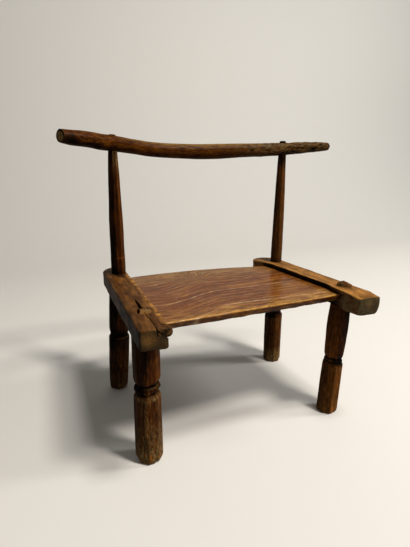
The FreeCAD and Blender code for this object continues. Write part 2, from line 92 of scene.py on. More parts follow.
# A range takes its value, the two ends it comes from and the two it goes to. A colour mix takes its
# share on input 0 and its two colours on 6 and 7, and gives the colour on output 2.
COLOUR, COLOUR_TIMES, MIXED = {"data_type": "RGBA"}, {"data_type": "RGBA", "blend_type": "MULTIPLY"}, 2
PATTERNS = ("patch", "streak", "fibre", "pore", "fleck", "break")


def wood(name, turn, shades, sizes, figure, finish, bend=None):
    """Old hardwood, its grain laid along local X by turn.

    shades: sRGB hex of the dark patches, body, warm patches, pale grain, rubbed edges and painted highlights,
    grime and painted shade, and weathered grey. sizes: millimetres along and across the grain, detail and
    harshness of each of the PATTERNS; only the plank has the last one.
    figure: draws the growth rings. finish: roughness, specular level, coat, coat roughness
    and depth of the bump in millimetres. bend: makes the whole grain flow across the piece.
    """
    dark, body, warm, pale, rubbed_and_lit, grime_and_shade, grey = shades
    material = bpy.data.materials.new(name)
    material.use_nodes = True
    material.node_tree.nodes.clear()
    put = functools.partial(add, material.node_tree)
    place = put("ShaderNodeTexCoord", out="Object")
    facing = put("ShaderNodeTexCoord", out="Normal")
    along = put(MAPPING, None, {"Vector": place, "Rotation": turn, "Scale": (1 / MM,) * 3})
    if bend:
        along = bend(put, along)
    pattern = {}
    for kind, (long, wide, detail, harsh) in zip(PATTERNS, sizes):
        shrunk = put(MAPPING, None, {"Vector": along, "Scale": (1 / long, 1 / wide, 1 / wide)})
        pattern[kind] = put(NOISE, None, {"Vector": shrunk, "Scale": 1.0, "Detail": detail, "Roughness": harsh})

    # How squarely a face crosses the grain, 0 on long grain and 1 on a cut end
    turned = put(MAPPING, None, {"Vector": facing, "Rotation": turn})
    across = put(MATH, AMOUNT, (put(SPLIT, None, (turned,)),))
    end_grain = put(RANGE, SMOOTH, (across, 0.62, 0.92))

    # Broad patches, then streaks along the grain, then growth rings
    patch = put(RAMP, {"stops": [(0.36, dark), (0.47, body), (0.55, body), (0.66, warm)]}, (pattern["patch"],))
    streak = put(RANGE, None, (pattern["streak"], 0.5, 0.72))
    tone = put(MIX, COLOUR, {0: streak, 6: patch, 7: colour(pale)}, out=MIXED)
    sunk = put(RANGE, None, (pattern["streak"], 0.46, 0.28))
    tone = put(MIX, COLOUR, {0: sunk, 6: tone, 7: colour(dark)}, out=MIXED)
    tone, ring = figure(put, along, tone, pattern)

    # Fine fibres darken the tone, and open pores show as short dark dashes
    fine = put(RAMP, {"stops": [(0.3, "#8a8580"), (0.5, "#d6d3d0"), (0.68, "#ffffff")]}, (pattern["fibre"],))
    tone = put(MIX, COLOUR_TIMES, {0: 1.0, 6: tone, 7: fine}, out=MIXED)
    pores = put(RANGE, None, (pattern["pore"], 0.64, 0.7))
    pores_shown = put(MATH, TIMES, (pores, 0.6))
    tone = put(MIX, COLOUR, {0: pores_shown, 6: tone, 7: colour(grime_and_shade)}, out=MIXED)

    # A cut end drinks in dirt: darker and duller, with its fibres just showing
    end_tone = put(RAMP, {"stops": [(0.3, grime_and_shade), (0.5, dark), (0.75, grey)]}, (pattern["patch"],))
    end_tone = put(MIX, COLOUR, {0: 0.6, 6: end_tone, 7: colour(grey)}, out=MIXED)
    end_tone = put(MIX, COLOUR_TIMES, {0: 0.45, 6: end_tone, 7: fine}, out=MIXED)
    tone = put(MIX, COLOUR, {0: put(MATH, TIMES, (end_grain, 0.85)), 6: tone, 7: end_tone}, out=MIXED)

    # The painted wear and light: red grime and painted shade, green rubbing and painted highlights, blue grey
    # weathering
    wear = put("ShaderNodeSeparateColor", None, {
        "Color": put("ShaderNodeAttribute", {"attribute_name": WEAR_AND_LIGHT})}).node.outputs
    mixed = put(MATH, TIMES_PLUS, (pattern["streak"], 0.7, pattern["fibre"]))
    breaking = (
        (pattern["patch"], 0.35, 0.6, 1.2, 0.75), (mixed, 0.72, 0.98, 0.3, 1.4),
        (pattern["fleck"], 0.44, 0.6, 0.15, 1.9))
    grime_and_shade_share, handled_and_lit, weathered = [
        put(MATH, {**TIMES, **CLAMPED}, (amount, put(RANGE, None, row))) for amount, row in zip(wear, breaking)]
    for share, shade in ((weathered, grey), (handled_and_lit, rubbed_and_lit), (grime_and_shade_share, grime_and_shade)):
        tone = put(MIX, COLOUR, {0: share, 6: tone, 7: colour(shade)}, out=MIXED)

    roughness, specular, coat, coat_roughness, depth = finish
    gloss = put(MATH, TIMES_PLUS, (pattern["fibre"], 0.3, roughness - 0.15))
    gloss = put(MATH, {**TIMES_PLUS, **CLAMPED}, (grime_and_shade_share, 0.25, gloss))
    height = pattern["fibre"]
    for part, share in ((pattern["streak"], 0.8), (pores, -0.5), (ring, 0.25)):
        height = put(MATH, TIMES_PLUS, (part, share, height))
    relief = put("ShaderNodeBump", None, {"Strength": 1.0, "Distance": depth * MM, "Height": height})
    shader = put("ShaderNodeBsdfPrincipled", None, {
        "Base Color": tone, "Roughness": gloss, "Normal": relief, "IOR": 1.5, "Specular IOR Level": specular,
        "Coat Weight": coat, "Coat Roughness": coat_roughness})
    put("ShaderNodeOutputMaterial", None, {"Surface": shader})
    return material


def stick_figure(pith, ring, share):
    """Plain rings round a pith, dark where the late wood lies."""
    def draw(put, along, tone, pattern):
        off = put(VECTOR, MINUS, (along, pith))
        flat = put(VECTOR, TIMES, (off, (0, 1, 1)))
        radius = put(VECTOR, LENGTH, (flat,), out="Value")
        rings = put(MATH, OVER, (radius, ring))
        bent = put(MATH, TIMES_PLUS, (pattern["patch"], 3.0, rings))
        cycle = put(MATH, FRACTION, (bent,))
        shade = put(RAMP, {"stops": [(0.0, "#8e8177"), (0.35, "#d8d0c8"), (0.85, "#ffffff"),
            (1.0, "#a2968c")]}, (cycle,))
        return put(MIX, COLOUR_TIMES, {0: share, 6: tone, 7: shade}, out=MIXED), cycle
    return draw


# Where the plank's long pale lines run: mm across its bent grain, half width in mm, strength
PALE_LINES = ((-63, 1.5, 0.8), (-76, 0.9, 0.35), (-151, 2.0, 0.85), (-139, 0.9, 0.4), (-109, 0.9, 0.35),
    (-90, 1.0, 0.3), (-42, 1.0, 0.4), (-22, 0.8, 0.3), (0, 1.0, 0.4), (14, 0.7, 0.35), (28, 0.9, 0.45),
    (45, 0.8, 0.4), (62, 1.2, 0.6), (75, 0.9, 0.55), (88, 0.9, 0.5))


def plank_flow(put, along):
    """Bend the grain: it climbs from the left front, wavers, and flows round one place at the back."""
    xyz = put(SPLIT, None, (along,)).node.outputs
    climb = put(RANGE, SMOOTH, (xyz[0], -150, -20, 0, 50))
    off = put(VECTOR, MINUS, (along, (-58, 104, 253)))
    off = put(VECTOR, OVER, (off, (64, 30, 200)))
    far = put(VECTOR, LENGTH, (off,), out="Value")
    flame = put(RANGE, SMOOTH, (far, 1.25, 0.0, 0, 46))
    field = put(MATH, MINUS, (xyz[1], climb))
    field = put(MATH, {"operation": "ADD"}, (field, flame))
    # Half of each sway is taken off again, so that the lines keep their places
    for long, wide, sway in ((95, 40, 11), (24, 12, 7), (9, 7, 2.2)):
        shrunk = put(MAPPING, None, {"Vector": along, "Scale": (1 / long, 1 / wide, 1 / wide)})
        waver = put(NOISE, None, {"Vector": shrunk, "Scale": 1.0, "Detail": 2.0})
        field = put(MATH, TIMES_PLUS, (waver, sway, field))
        field = put(MATH, MINUS, (field, sway / 2))
    return put("ShaderNodeCombineXYZ", None, (xyz[0], field, xyz[2]))


def plank_figure(put, along, tone, pattern):
    """Flat-cut figure on the bent grain: close dark lines, and a few long pale ones."""
    field = put(SPLIT, None, (along,), out=1)
    lines = None
    for value, half, strength in PALE_LINES:
        away = put(MATH, MINUS, (field, value))
        away = put(MATH, AMOUNT, (away,))
        line = put(RANGE, SMOOTH, (away, 2 * half, 0, 0, strength))
        lines = line if lines is None else put(MATH, {"operation": "MAXIMUM"}, (lines, line))
    broken = put(RANGE, None, (pattern["break"], 0.4, 0.58, 0.15, 1.0))
    lines = put(MATH, TIMES, (lines, broken))
    cycle = put(MATH, FRACTION, (put(MATH, OVER, (field, 9)),))
    shade = put(RAMP, {"stops": [(0.0, "#a3917f"), (0.25, "#ddd2c4"), (0.75, "#ffffff"),
        (0.92, "#fff3dc"), (1.0, "#a3917f")]}, (cycle,))
    clear = put(RANGE, None, (pattern["break"], 0.62, 0.38, 0.1, 0.75))
    tone = put(MIX, COLOUR_TIMES, {0: clear, 6: tone, 7: shade}, out=MIXED)
    return put(MIX, COLOUR, {0: lines, 6: tone, 7: colour("#cdaa80")}, out=MIXED), lines


ALONG_X = (0, 0, 0)
ALONG_Y = (0, 0, math.radians(-90))
ALONG_Z = (0, math.radians(90), 0)

# A flat-cut tropical hardwood plank, rubbed by cloth and skin to a soft polish:
# red-brown with pale wavy lines, short open pores and a golden front edge
seat_wood = wood("plank_rubbed_hardwood", ALONG_X,
    ("#643410", "#78400f", "#92591c", "#9a662a", "#b28440", "#1a0d04", "#82683a"),
    ((80, 26, 4, 0.65), (80, 8, 4, 0.55), (20, 1.0, 3, 0.65),
    (7, 0.9, 1, 0.5), (20, 3, 2, 0.5), (34, 9, 3, 0.6)),
    plank_figure, (0.48, 0.02, 0.26, 0.2, 0.45), plank_flow)
# Side rails of hewn hardwood: hands have polished the tops and the sides keep dust and smoke; the paint adds a
# painted sheen and painted shade
rail_wood = wood("hewn_rail_hardwood", ALONG_Y,
    ("#361a06", "#5e330a", "#784812", "#80521c", "#aa7636", "#100802", "#4c4026"),
    ((34, 14, 4, 0.65), (50, 4, 4, 0.65), (20, 1.1, 4, 0.7),
    (9, 1.0, 1, 0.5), (12, 5, 2, 0.5)),
    stick_figure((0, 40, -160), 9, 0.5), (0.56, 0.04, 0.06, 0.34, 0.8))
# Legs and posts of dark heartwood, cut along the grain with a knife and never sanded
leg_wood = wood("knife_cut_dark_heartwood", ALONG_Z,
    ("#1c0a02", "#3e1c05", "#582c08", "#5f350c", "#8c5319", "#050200", "#7a6840"),
    ((50, 14, 4, 0.6), (56, 3, 4, 0.65), (26, 1.2, 4, 0.7),
    (12, 1.0, 1, 0.5), (7, 1.8, 2, 0.6)),
    stick_figure((0, 6, 4), 6, 0.5), (0.5, 0.03, 0.0, 0.3, 1.0))
# The crest is a whole branch, handled smooth: golden brown, glossy with a painted sheen along its top, its right
# arm dry and grey
crest_wood = wood("handled_branch_hardwood", ALONG_X,
    ("#261003", "#522a05", "#70400a", "#784a0e", "#9a7c48", "#080300", "#5e4c2c"),
    ((36, 12, 4, 0.7), (30, 3.2, 4, 0.7), (16, 1.1, 4, 0.7),
    (8, 1.1, 1, 0.5), (24, 3, 3, 0.6)),
    stick_figure((0, 150, 532), 8, 0.35), (0.42, 0.02, 0.03, 0.24, 0.6))
# Wedges split from paler wood, driven once, dirty and worn level
wedge_wood = wood("split_pale_wedge_wood", ALONG_Z,
    ("#4a3018", "#75532c", "#84603a", "#94713f", "#ac8d60", "#1a110a", "#7d6a4c"),
    ((20, 8, 3, 0.6), (16, 2, 3, 0.6), (10, 0.8, 3, 0.6),
    (6, 0.7, 1, 0.5), (6, 2, 2, 0.5)),
    stick_figure((0, 40, 30), 3, 0.4), (0.65, 0.2, 0.0, 0.4, 0.4))


# Shaping by hand: slicing, cutting, wearing and painting

def slices(bm, axis, step):
    """Cut the whole mesh by evenly spaced planes square to an axis, to have points to wear."""
    places = [v.co[axis] for v in bm.verts]
    low, high = min(places), max(places)
    normal = Vector((0, 0, 0))
    normal[axis] = 1
    count = max(2, round((high - low) / step))
    for number in range(1, count):
        bmesh.ops.bisect_plane(bm, geom=bm.verts[:] + bm.edges[:] + bm.faces[:], dist=0.01,
            plane_co=normal * (low + (high - low) * number / count), plane_no=normal)


def knife_cut(bm, point, facing):
    """Slice off all that lies in front of a plane, and close the cut."""
    cut = bmesh.ops.bisect_plane(bm, geom=bm.verts[:] + bm.edges[:] + bm.faces[:], plane_co=point,
        plane_no=Vector(facing).normalized(), clear_outer=True, dist=0.01)["geom_cut"]
    bmesh.ops.holes_fill(bm, edges=parts(cut, bmesh.types.BMEdge), sides=0)


def kept_mesh(name, bm):
    """Turn a working mesh into a mesh of the file."""
    mesh = bpy.data.meshes.new(name)
    bm.to_mesh(mesh)
    bm.free()
    return mesh


def stand(name, data):
    """A new object in the scene."""
    obj = bpy.data.objects.new(name, data)
    bpy.context.scene.collection.objects.link(obj)
    return obj


def parts(geometry, kind):
    """The vertices or edges among the results of an operator."""
    return [part for part in geometry if isinstance(part, kind)]


def smooth_out(bm, verts, times, along_y=True):
    """Draw some points towards their neighbours again and again."""
    for _ in range(times):
        bmesh.ops.smooth_vert(bm, verts=verts, factor=0.5, use_axis_x=True, use_axis_y=along_y, use_axis_z=True)


def round_edges(bm, edges, width, segments):
    """Round some edges over."""
    bmesh.ops.bevel(bm, geom=edges, affect="EDGES", offset=width, segments=segments, profile=0.5, material=-1,
        clamp_overlap=True)


def level_edges(bm):
    """The edges that run level."""
    return [e for e in bm.edges if abs(e.verts[0].co.z - e.verts[1].co.z) < 1e-3]


def rough(size, depth, seed):
    """A field of smooth dents: size in mm along X, Y and Z, depth in mm."""
    def field(place):
        return depth * noise.noise([p / s + seed * 7.3 for p, s in zip(place, size)])
    return field


def ripple(place, size, lift=0.0):
    """Smooth noise from -1 to 1: size in mm along X, Y and Z, and a lift to another layer of it."""
    x, y, z = [p / s for p, s in zip(place, size)]
    return noise.noise((x, y, z + lift))


def spots(place, size, lift=0.0, least=0.0):
    """Only the peaks of a ripple, from the height of least upwards."""
    return max(0.0, ripple(place, size, lift) - least)


def wear_down(bm, *fields):
    """Push every point along its normal by the sum of the fields at its place."""
    bm.normal_update()
    moves = [(v, sum(field(v.co) for field in fields) * v.normal) for v in bm.verts]
    for vert, move in moves:
        vert.co += move


def shift(bm, move):
    """Move every point by a vector that depends on its place."""
    for vert, step in [(v, Vector(move(v.co))) for v in bm.verts]:
        vert.co += step


def near(place, centre, reach):
    """1 at a centre, smoothly 0 at an ellipsoid reach away."""
    far = math.sqrt(sum(((p - c) / r) ** 2 for p, c, r in zip(place, centre, reach)))
    return max(0.0, 1 - far) ** 2 * (1 + 2 * min(far, 1))


def slide(value, start, end):
    """A smooth step from 0 at start to 1 at end."""
    share = min(1.0, max(0.0, (value - start) / (end - start)))
    return share * share * (3 - 2 * share)


def ridges(bm):
    """How far each point stands out of its neighbours: above 0 on arrises, below 0 in grooves."""
    out = {}
    for vert in bm.verts:
        arms = [(edge.other_vert(vert).co - vert.co).normalized() for edge in vert.link_edges]
        out[vert] = -sum(arm.dot(vert.normal) for arm in arms) / max(1, len(arms))
    return {v: (2 * out[v] + sum(out[e.other_vert(v)] for e in v.link_edges)) / (2 + len(v.link_edges))
        for v in bm.verts}


def finish(name, bm, material, slot, nodes, paint, edge_wear_and_highlight=0.5):
    """Turn a mesh in millimetres into a finished piece that stands for its CAD nodes."""
    bmesh.ops.remove_doubles(bm, verts=bm.verts, dist=0.005)
    bmesh.ops.recalc_face_normals(bm, faces=bm.faces)
    bm.normal_update()
    layer = bm.verts.layers.float_color.new(WEAR_AND_LIGHT)
    for vert, ridge in ridges(bm).items():
        grime_and_shade, rubbed_and_lit, grey = paint(vert.co, vert.normal)
        # Grooves are painted darker, dirt and painted shade together; arrises are painted lighter, worn pale and a
        # painted highlight together
        grime_and_shade += 0.8 * slide(-ridge, 0.03, 0.16)
        rubbed_and_lit += edge_wear_and_highlight * slide(ridge, 0.04, 0.22)
        vert[layer] = (min(1, max(0, grime_and_shade)), min(1, max(0, rubbed_and_lit)), min(1, max(0, grey)), 1)
    for face in bm.faces:
        face.smooth = True
    for edge in bm.edges:
        edge.smooth = edge.calc_face_angle(0) < SHARP
    bmesh.ops.scale(bm, vec=(MM,) * 3, verts=bm.verts)
    obj = stand(name, kept_mesh(name, bm))
    obj.data.materials.append(material)
    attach(obj, "root")
    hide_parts(*nodes)


def carve(bm, cutters, lumps=()):
    """Take closed cutters out of a mesh, grow closed lumps on it, and return the new mesh."""
    objects = []
    for number, shape in enumerate([bm, *cutters, *lumps]):
        bmesh.ops.recalc_face_normals(shape, faces=shape.faces)
        objects.append(stand(f"blank_{number}", kept_mesh(f"blank_{number}", shape)))
    blank = objects[0]
    for number, tool in enumerate(objects[1:]):
        modifier = blank.modifiers.new("cut", "BOOLEAN")
        modifier.operation = "DIFFERENCE" if number < len(cutters) else "UNION"
        modifier.solver = "EXACT"
        modifier.object = tool
    result = bpy.data.meshes.new_from_object(blank.evaluated_get(bpy.context.evaluated_depsgraph_get()))
    for obj in objects:
        mesh = obj.data
        bpy.data.objects.remove(obj)
        bpy.data.meshes.remove(mesh)
    carved = bmesh.new()
    carved.from_mesh(result)
    bpy.data.meshes.remove(result)
    return carved


def prism(outline, low, high, axis=2):
    """A block over a small outline: (x, y) points raised along Z, or (x, z) points along Y."""
    bm = bmesh.new()
    points = [(a, b, low) if axis == 2 else (a, low, b) for a, b in outline]
    face = bm.faces.new([bm.verts.new(p) for p in points])
    block = bmesh.ops.extrude_face_region(bm, geom=[face])["geom"]
    push = (0, 0, high - low) if axis == 2 else (0, high - low, 0)
    bmesh.ops.translate(bm, vec=push, verts=parts(block, bmesh.types.BMVert))
    return bm


def drill(centre, width, low, high):
    """An upright round cutter."""
    bm = bmesh.new()
    bmesh.ops.create_cone(bm, cap_ends=True, segments=28, radius1=width / 2, radius2=width / 2, depth=high - low)
    bmesh.ops.translate(bm, vec=(*centre, (low + high) / 2), verts=bm.verts)
    return bm


def egg(centre, reach, tilt):
    """A rounded lump: its middle, its three half sizes and a tilt about Y in degrees."""
    bm = bmesh.new()
    bmesh.ops.create_uvsphere(bm, u_segments=24, v_segments=14, radius=1)
    bmesh.ops.scale(bm, vec=reach, verts=bm.verts)
    bmesh.ops.rotate(bm, verts=bm.verts, matrix=Matrix.Rotation(math.radians(tilt), 3, "Y"))
    bmesh.ops.translate(bm, vec=centre, verts=bm.verts)
    return bm


# Legs, posts and crest: rings of knife-cut facets, drawn out station by station

def facet_ring(facets, across, soften, uneven, seed):
    """One ring of unit half width whose flats differ a little, its corners softened."""
    bm = bmesh.new()
    bmesh.ops.create_circle(bm, segments=facets, radius=1 / math.cos(math.pi / facets), cap_ends=True)
    bmesh.ops.rotate(bm, verts=bm.verts, matrix=Matrix.Rotation(math.pi / facets, 3, "Z"))
    for number, vert in enumerate(bm.verts):
        jolt = noise.noise_vector(Vector((number * 1.7 + 0.3, seed * 3.1, 0.5)))
        vert.co *= 1 + uneven * 0.5 * jolt.x
        bmesh.ops.rotate(bm, verts=[vert], matrix=Matrix.Rotation(uneven * 1.6 * jolt.y, 3, "Z"))
    bmesh.ops.bevel(bm, geom=bm.verts[:], affect="VERTICES", offset=soften, segments=2, profile=0.5,
        material=-1, clamp_overlap=True)
    long_edges = [e for e in bm.edges if e.calc_length() > soften * 1.2]
    bmesh.ops.subdivide_edges(bm, edges=long_edges, cuts=across)
    bmesh.ops.delete(bm, geom=bm.faces[:], context="FACES_ONLY")
    return bm


def draw_out(bm, stations):
    """Draw a unit ring through a list of matrices, and close both ends."""
    first = ring = bm.edges[:]
    bmesh.ops.transform(bm, matrix=stations[0], verts=bm.verts)
    for before, after in zip(stations, stations[1:]):
        new = bmesh.ops.extrude_edge_only(bm, edges=ring)["geom"]
        ring = [e for e in new if isinstance(e, bmesh.types.BMEdge) and e.is_boundary]
        verts = list({v for e in ring for v in e.verts})
        bmesh.ops.transform(bm, matrix=after @ before.inverted(), verts=verts)
    for end in (first, ring):
        bmesh.ops.holes_fill(bm, edges=end, sides=0)
    bmesh.ops.recalc_face_normals(bm, faces=bm.faces)
    return bm


def level(centre, width, turn=0.0):
    """A level station: middle, width across the flats, turn in degrees."""
    size = Matrix.Diagonal((width / 2, width / 2, width / 2, 1))
    return Matrix.Translation(centre) @ Matrix.Rotation(math.radians(turn), 4, "Z") @ size


def between(table, at):
    """Straight-line value between the rows (place, value) of a table."""
    for (low, value), (high, following) in zip(table, table[1:]):
        if at <= high:
            return value + (following - value) * (max(at, low) - low) / (high - low)
    return table[-1][1]


def heights(low, high, step, extra=()):
    """Evenly spaced heights with extra ones put in."""
    count = max(1, round((high - low) / step))
    rows = {round(low + (high - low) * n / count, 2) for n in range(count + 1)}
    rows = {r for r in rows if r in (low, high) or all(abs(r - e) > 0.9 for e in extra)}
    return sorted(rows | {round(h, 2) for h in extra if low < h < high})


def shaft(foot, head, shoulder, profile, turn):
    """Stations of a leg from the middle of its sole up to its shoulder."""
    foot, head = Vector((*foot, 0)), Vector((*head, shoulder))
    stations = [level(foot, profile[0][1] * s, turn) for s in (0.15, 0.4, 0.65, 0.85)]
    for z in heights(0, shoulder, 2.4, [row[0] for row in profile]):
        stations.append(level(foot.lerp(head, z / shoulder), between(profile, z), turn))
    return stations


def knife_marks(bm, seed, depth=0.4):
    """Facets of a hand-cut stick: long shallow cuts, short nicks and a slight sway."""
    wear_down(bm, rough((8, 8, 44), depth, seed), rough((3, 3, 16), depth * 0.45, seed + 1),
        rough((30, 30, 60), depth * 1.3, seed + 2))


def worn_sole(bm, foot, seed, depth):
    """Chip the foot round its sole, and leave the sole flat on the floor."""
    for vert in bm.verts:
        if vert.co.z < 14:
            out = Vector((vert.co.x - foot[0], vert.co.y - foot[1], 0))
            chip = spots(vert.co, (7, 7, 9), seed, -0.15)
            vert.co -= out.normalized() * depth * chip * slide(vert.co.z, 14, 1) * slide(out.length, 8, 16)
        if vert.co.z < 0.6:
            vert.co.z = 0.0


LEG_RING = dict(facets=8, across=4, soften=0.08, uneven=0.08)
LEFT_TOP, RIGHT_TOP = 267.0, 264.5
LEFT_BOTTOM, RIGHT_BOTTOM = 233.0, 228.5
LEFT_TENON, RIGHT_TENON = (-199.5, -118), (206, -112.5)


def leg_paint(bead, shoulder, pale, chalk, foot_dust, lit=1, shade=0.75):
    """Paint of a leg: painted shade, near black, under the rail, black in the notch, dry and scuffed towards the
    foot.

    lit: the side painted lighter above the notch, a painted light, 1 for the right and -1 for the left.
    shade: how much darker the other side is painted, a painted shade.
    """
    def paint(place, normal):
        if place.z > shoulder:
            return (0.55 * slide(place.z, shoulder + 70, shoulder + 38), 0.1 * max(0.0, normal.x), 0)
        # A band just under the rail is painted darker: painted shade
        shade_below = slide(place.z, shoulder - 80, shoulder - 5)
        notch = near((place.z,), (bead + 1,), (15,))
        streak = spots(place, (2.4, 2.4, 42))
        scuff = spots(place, (2.2, 2.2, 13), 3, 0.12)
        cracks = spots(place, (3, 3, 9), 5, 0.05)
        lower = slide(place.z, bead - 4, bead - 14)
        base = slide(place.z, 46, 4)
        # The right side below the notch and the lit side above it are painted lighter and the other side darker:
        # painted light and shade
        side = 0.5 + 0.5 * normal.x * (lower + lit * (1 - lower))
        shoulder_scuff = near((place.z,), (bead - 15,), (9,)) * max(0.0, 0.3 + cracks * 3) * chalk
        painted_light_side = slide(side, 0.55, 0.95) * (1 - lower) * (1 - notch)
        flecks = 0.26 * chalk * slide(place.z, 92, 50) * (0.4 + 0.6 * side)
        return (0.08 + 0.12 * chalk * lower + 0.45 * shade_below + 0.66 * notch
            + (shade - 0.4 * shade * lower) * slide(side, 0.65, 0.1) - 0.4 * scuff - 0.15 * painted_light_side,
            lower * (pale * (0.6 + 0.8 * streak) * (0.3 + 0.7 * side) + chalk * base * cracks * 2.0)
            + 0.7 * scuff * (0.3 + 0.7 * side) * (1 - 0.7 * shade_below) + 0.14 * painted_light_side,
            lower * (0.25 * streak + foot_dust * base + 0.5 * shoulder_scuff + flecks)
            + 0.5 * chalk * scuff * slide(place.z, 75, 20))
    return paint


def draw_leg(profile, foot, head, shoulder, turn, above, seed, marks):
    """A leg from its sole to its shoulder, and whatever goes on above it.

    profile: rows of height and width across the flats. marks: depth of the knife marks.
    """
    bm = draw_out(facet_ring(seed=seed, **LEG_RING), shaft(foot, head, shoulder, profile, turn) + above)
    knife_marks(bm, seed, marks)
    return bm


def tenon(middle, width, low, crown, turn, domed):
    """Stations of a tenon through a rail, its end rounded over by domed mm."""
    rows = [level(Vector((*middle, z)), width, turn)
        for z in (low, low + 8, low + 16, crown - domed - 5, crown - domed)]
    for share, rise in ((0.97, 0.45), (0.88, 0.75), (0.7, 0.92), (0.4, 1.0), (0.15, 1.0)):
        rows.append(level(Vector((*middle, crown - domed * (1 - rise))), width * share, turn))
    return rows


# Front left leg: a fat chipped bead between two grooves, its tenon worn level with the rail
FL_FOOT, FL_BEAD = (-203, -131.5), 136
front_left = draw_leg(
    [(0, 37), (1.5, 40.5), (4, 43.5), (7, 45), (60, 44), (117, 43.6), (121, 42.8), (125, 39.4),
    (127.6, 34.4), (129.4, 34), (130.6, 38.4), (132.4, 41.2), (135.4, 42.2), (138.4, 41.2), (140.2, 38),
    (141.2, 34), (144, 33.8), (147.4, 39.8), (152.6, 42.8), (190, 43.2), (LEFT_BOTTOM, 42.5)],
    FL_FOOT, (-199.5, -119), LEFT_BOTTOM, 10,
    tenon(LEFT_TENON, 25.4, LEFT_BOTTOM, LEFT_TOP + 0.4, 10, 1.2), 1, 0.42)


def sagging_bead(place):
    """The bead was cut by eye: it sags in front and left, and rises at the right."""
    round_bead = near((place.z,), (FL_BEAD,), (18,))
    side = (place.x - FL_FOOT[0]) / 22
    wobble = noise.noise((place.x / 11, place.y / 11, 3.3))
    return (0, 0, round_bead * (2.2 * side - 1.4 * max(0, 1 - abs(side + 0.1) * 1.6) + 2.6 * wobble))


shift(front_left, sagging_bead)
wear_down(front_left, lambda p: 1.5 * near((p.z,), (FL_BEAD,), (9,)) * noise.noise(p / 5))
worn_sole(front_left, FL_FOOT, 2.0, 4.2)
PIT = [(-211.8, -119), (-210.2, -127), (-206.6, -121.5), (-204.6, -112), (-205, -102), (-208.8, -105)]
CRACK = [
    (-200.3, -123), (-199.2, -123.5), (-199.4, -134), (-199.1, -147), (-197.5, -154), (-198, -162.6),
    (-197.1, -172), (-197.3, -186), (-197.8, -206), (-199.4, -206), (-198.6, -186), (-198.7, -172),
    (-199.6, -162.6), (-199.3, -154), (-201.2, -147), (-201.1, -134)]
front_left = carve(front_left, [prism(PIT, 257, 275), prism(CRACK, 260, 275)])
front_left_wear_and_light = leg_paint(FL_BEAD, LEFT_BOTTOM, 0.16, 1.0, 0.4, shade=0.4)


def front_left_paint(place, normal):
    """Its worn top looks like the rail round it, and a long dry streak runs down its front."""
    if place.z > 262:
        return (0.1, 0.45, 0.15)
    grime_and_shade, rubbed_and_lit, grey = front_left_wear_and_light(place, normal)
    streak = (near((place.x,), (-208.5,), (3.4,)) * slide(-normal.y, 0.4, 0.7)
        * slide(place.z, 36, 64) * slide(place.z, 122, 108))
    return grime_and_shade - 0.3 * streak, rubbed_and_lit + 0.35 * streak, grey + 0.35 * streak


finish("front_left_leg_cut", front_left, leg_wood, "leg_wood", ["front_left_leg"], front_left_paint)

# Front right leg: a belly above a narrow notch with one thin line, its tenon a rough knob
FR_FOOT, FR_BEAD = (178.5, -123.5), 112
KNOB = Vector((203.5, -111, RIGHT_TOP + 12.3))
front_right = draw_leg(
    [(0, 33), (1.5, 36), (4, 38.8), (7, 40.4), (60, 40.6), (100, 40.3), (103.5, 39.6), (106.3, 37.6),
    (107.6, 33.4), (109.6, 33), (110.6, 35.4), (112, 36), (113.4, 35.2), (114.6, 32.4), (118, 32),
    (121, 34.8), (126, 37), (150, 39.8), (175, 41.4), (200, 41), (RIGHT_BOTTOM, 38.4)],
    FR_FOOT, (200.5, -113), RIGHT_BOTTOM, 4,
    tenon(RIGHT_TENON, 28.5, RIGHT_BOTTOM, RIGHT_TOP + 15, 4, 2), 2, 0.4)
shift(front_right, lambda p: (0, 0, -near((p.z,), (FR_BEAD,), (22,)) * (p.x - 188) / 20 * 3.4))
worn_sole(front_right, FR_FOOT, 5.0, 2.6)
for point, facing in (
        (KNOB, (-0.66, 0.02, 0.7)), (KNOB, (0.54, 0.05, 0.84)), (KNOB - UP * 0.5, (0.12, -0.6, 0.79)),
        (KNOB - UP * 0.5, (0.05, 0.66, 0.75)), (KNOB - UP * 3, (-0.5, -0.5, 0.7))):
    knife_cut(front_right, point, facing)
wear_down(front_right, lambda p: 0.9 * slide(p.z, 264, 266) * noise.noise(p / 6))
front_right_wear_and_light = leg_paint(FR_BEAD, RIGHT_BOTTOM, 1.0, 0.25, 0.15, lit=-1)


def knob_paint(place, normal):
    if place.z < 262:
        return front_right_wear_and_light(place, normal)
    # The knob's facets that face up and to the right are painted lighter and the others darker: painted light and
    # shade
    return (0.7 - 0.4 * slide(normal.x + normal.z, 0.7, 1.3), 0.28 * slide(normal.z + normal.x, 0.9, 1.35), 0.2)


finish("front_right_leg_cut", front_right, leg_wood, "leg_wood", ["front_right_leg"], knob_paint)


def post(low, tip, top, peg, crown, widths, turn):
    """Stations of a back post: up from the rail, then its peg through the crest."""
    low, tip, peg_width = Vector((*low, 0)), Vector((*tip, 0)), peg[0]
    rows = []
    for z in heights(top, peg[1], 2.6):
        share = (z - top) / (peg[1] - top)
        rows.append(level(low.lerp(tip, share) + z * UP, between(widths, share), turn))
    rows += [level(tip + z * UP, peg_width, turn) for z in (peg[1], peg[1] + 10, crown - 2)]
    for share, rise in ((1.0, 0.3), (0.95, 0.6), (0.8, 0.85), (0.5, 1.0), (0.15, 1.0)):
        rows.append(level(tip + (crown + 3.8 * rise) * UP, peg_width * share, turn))
    return rows


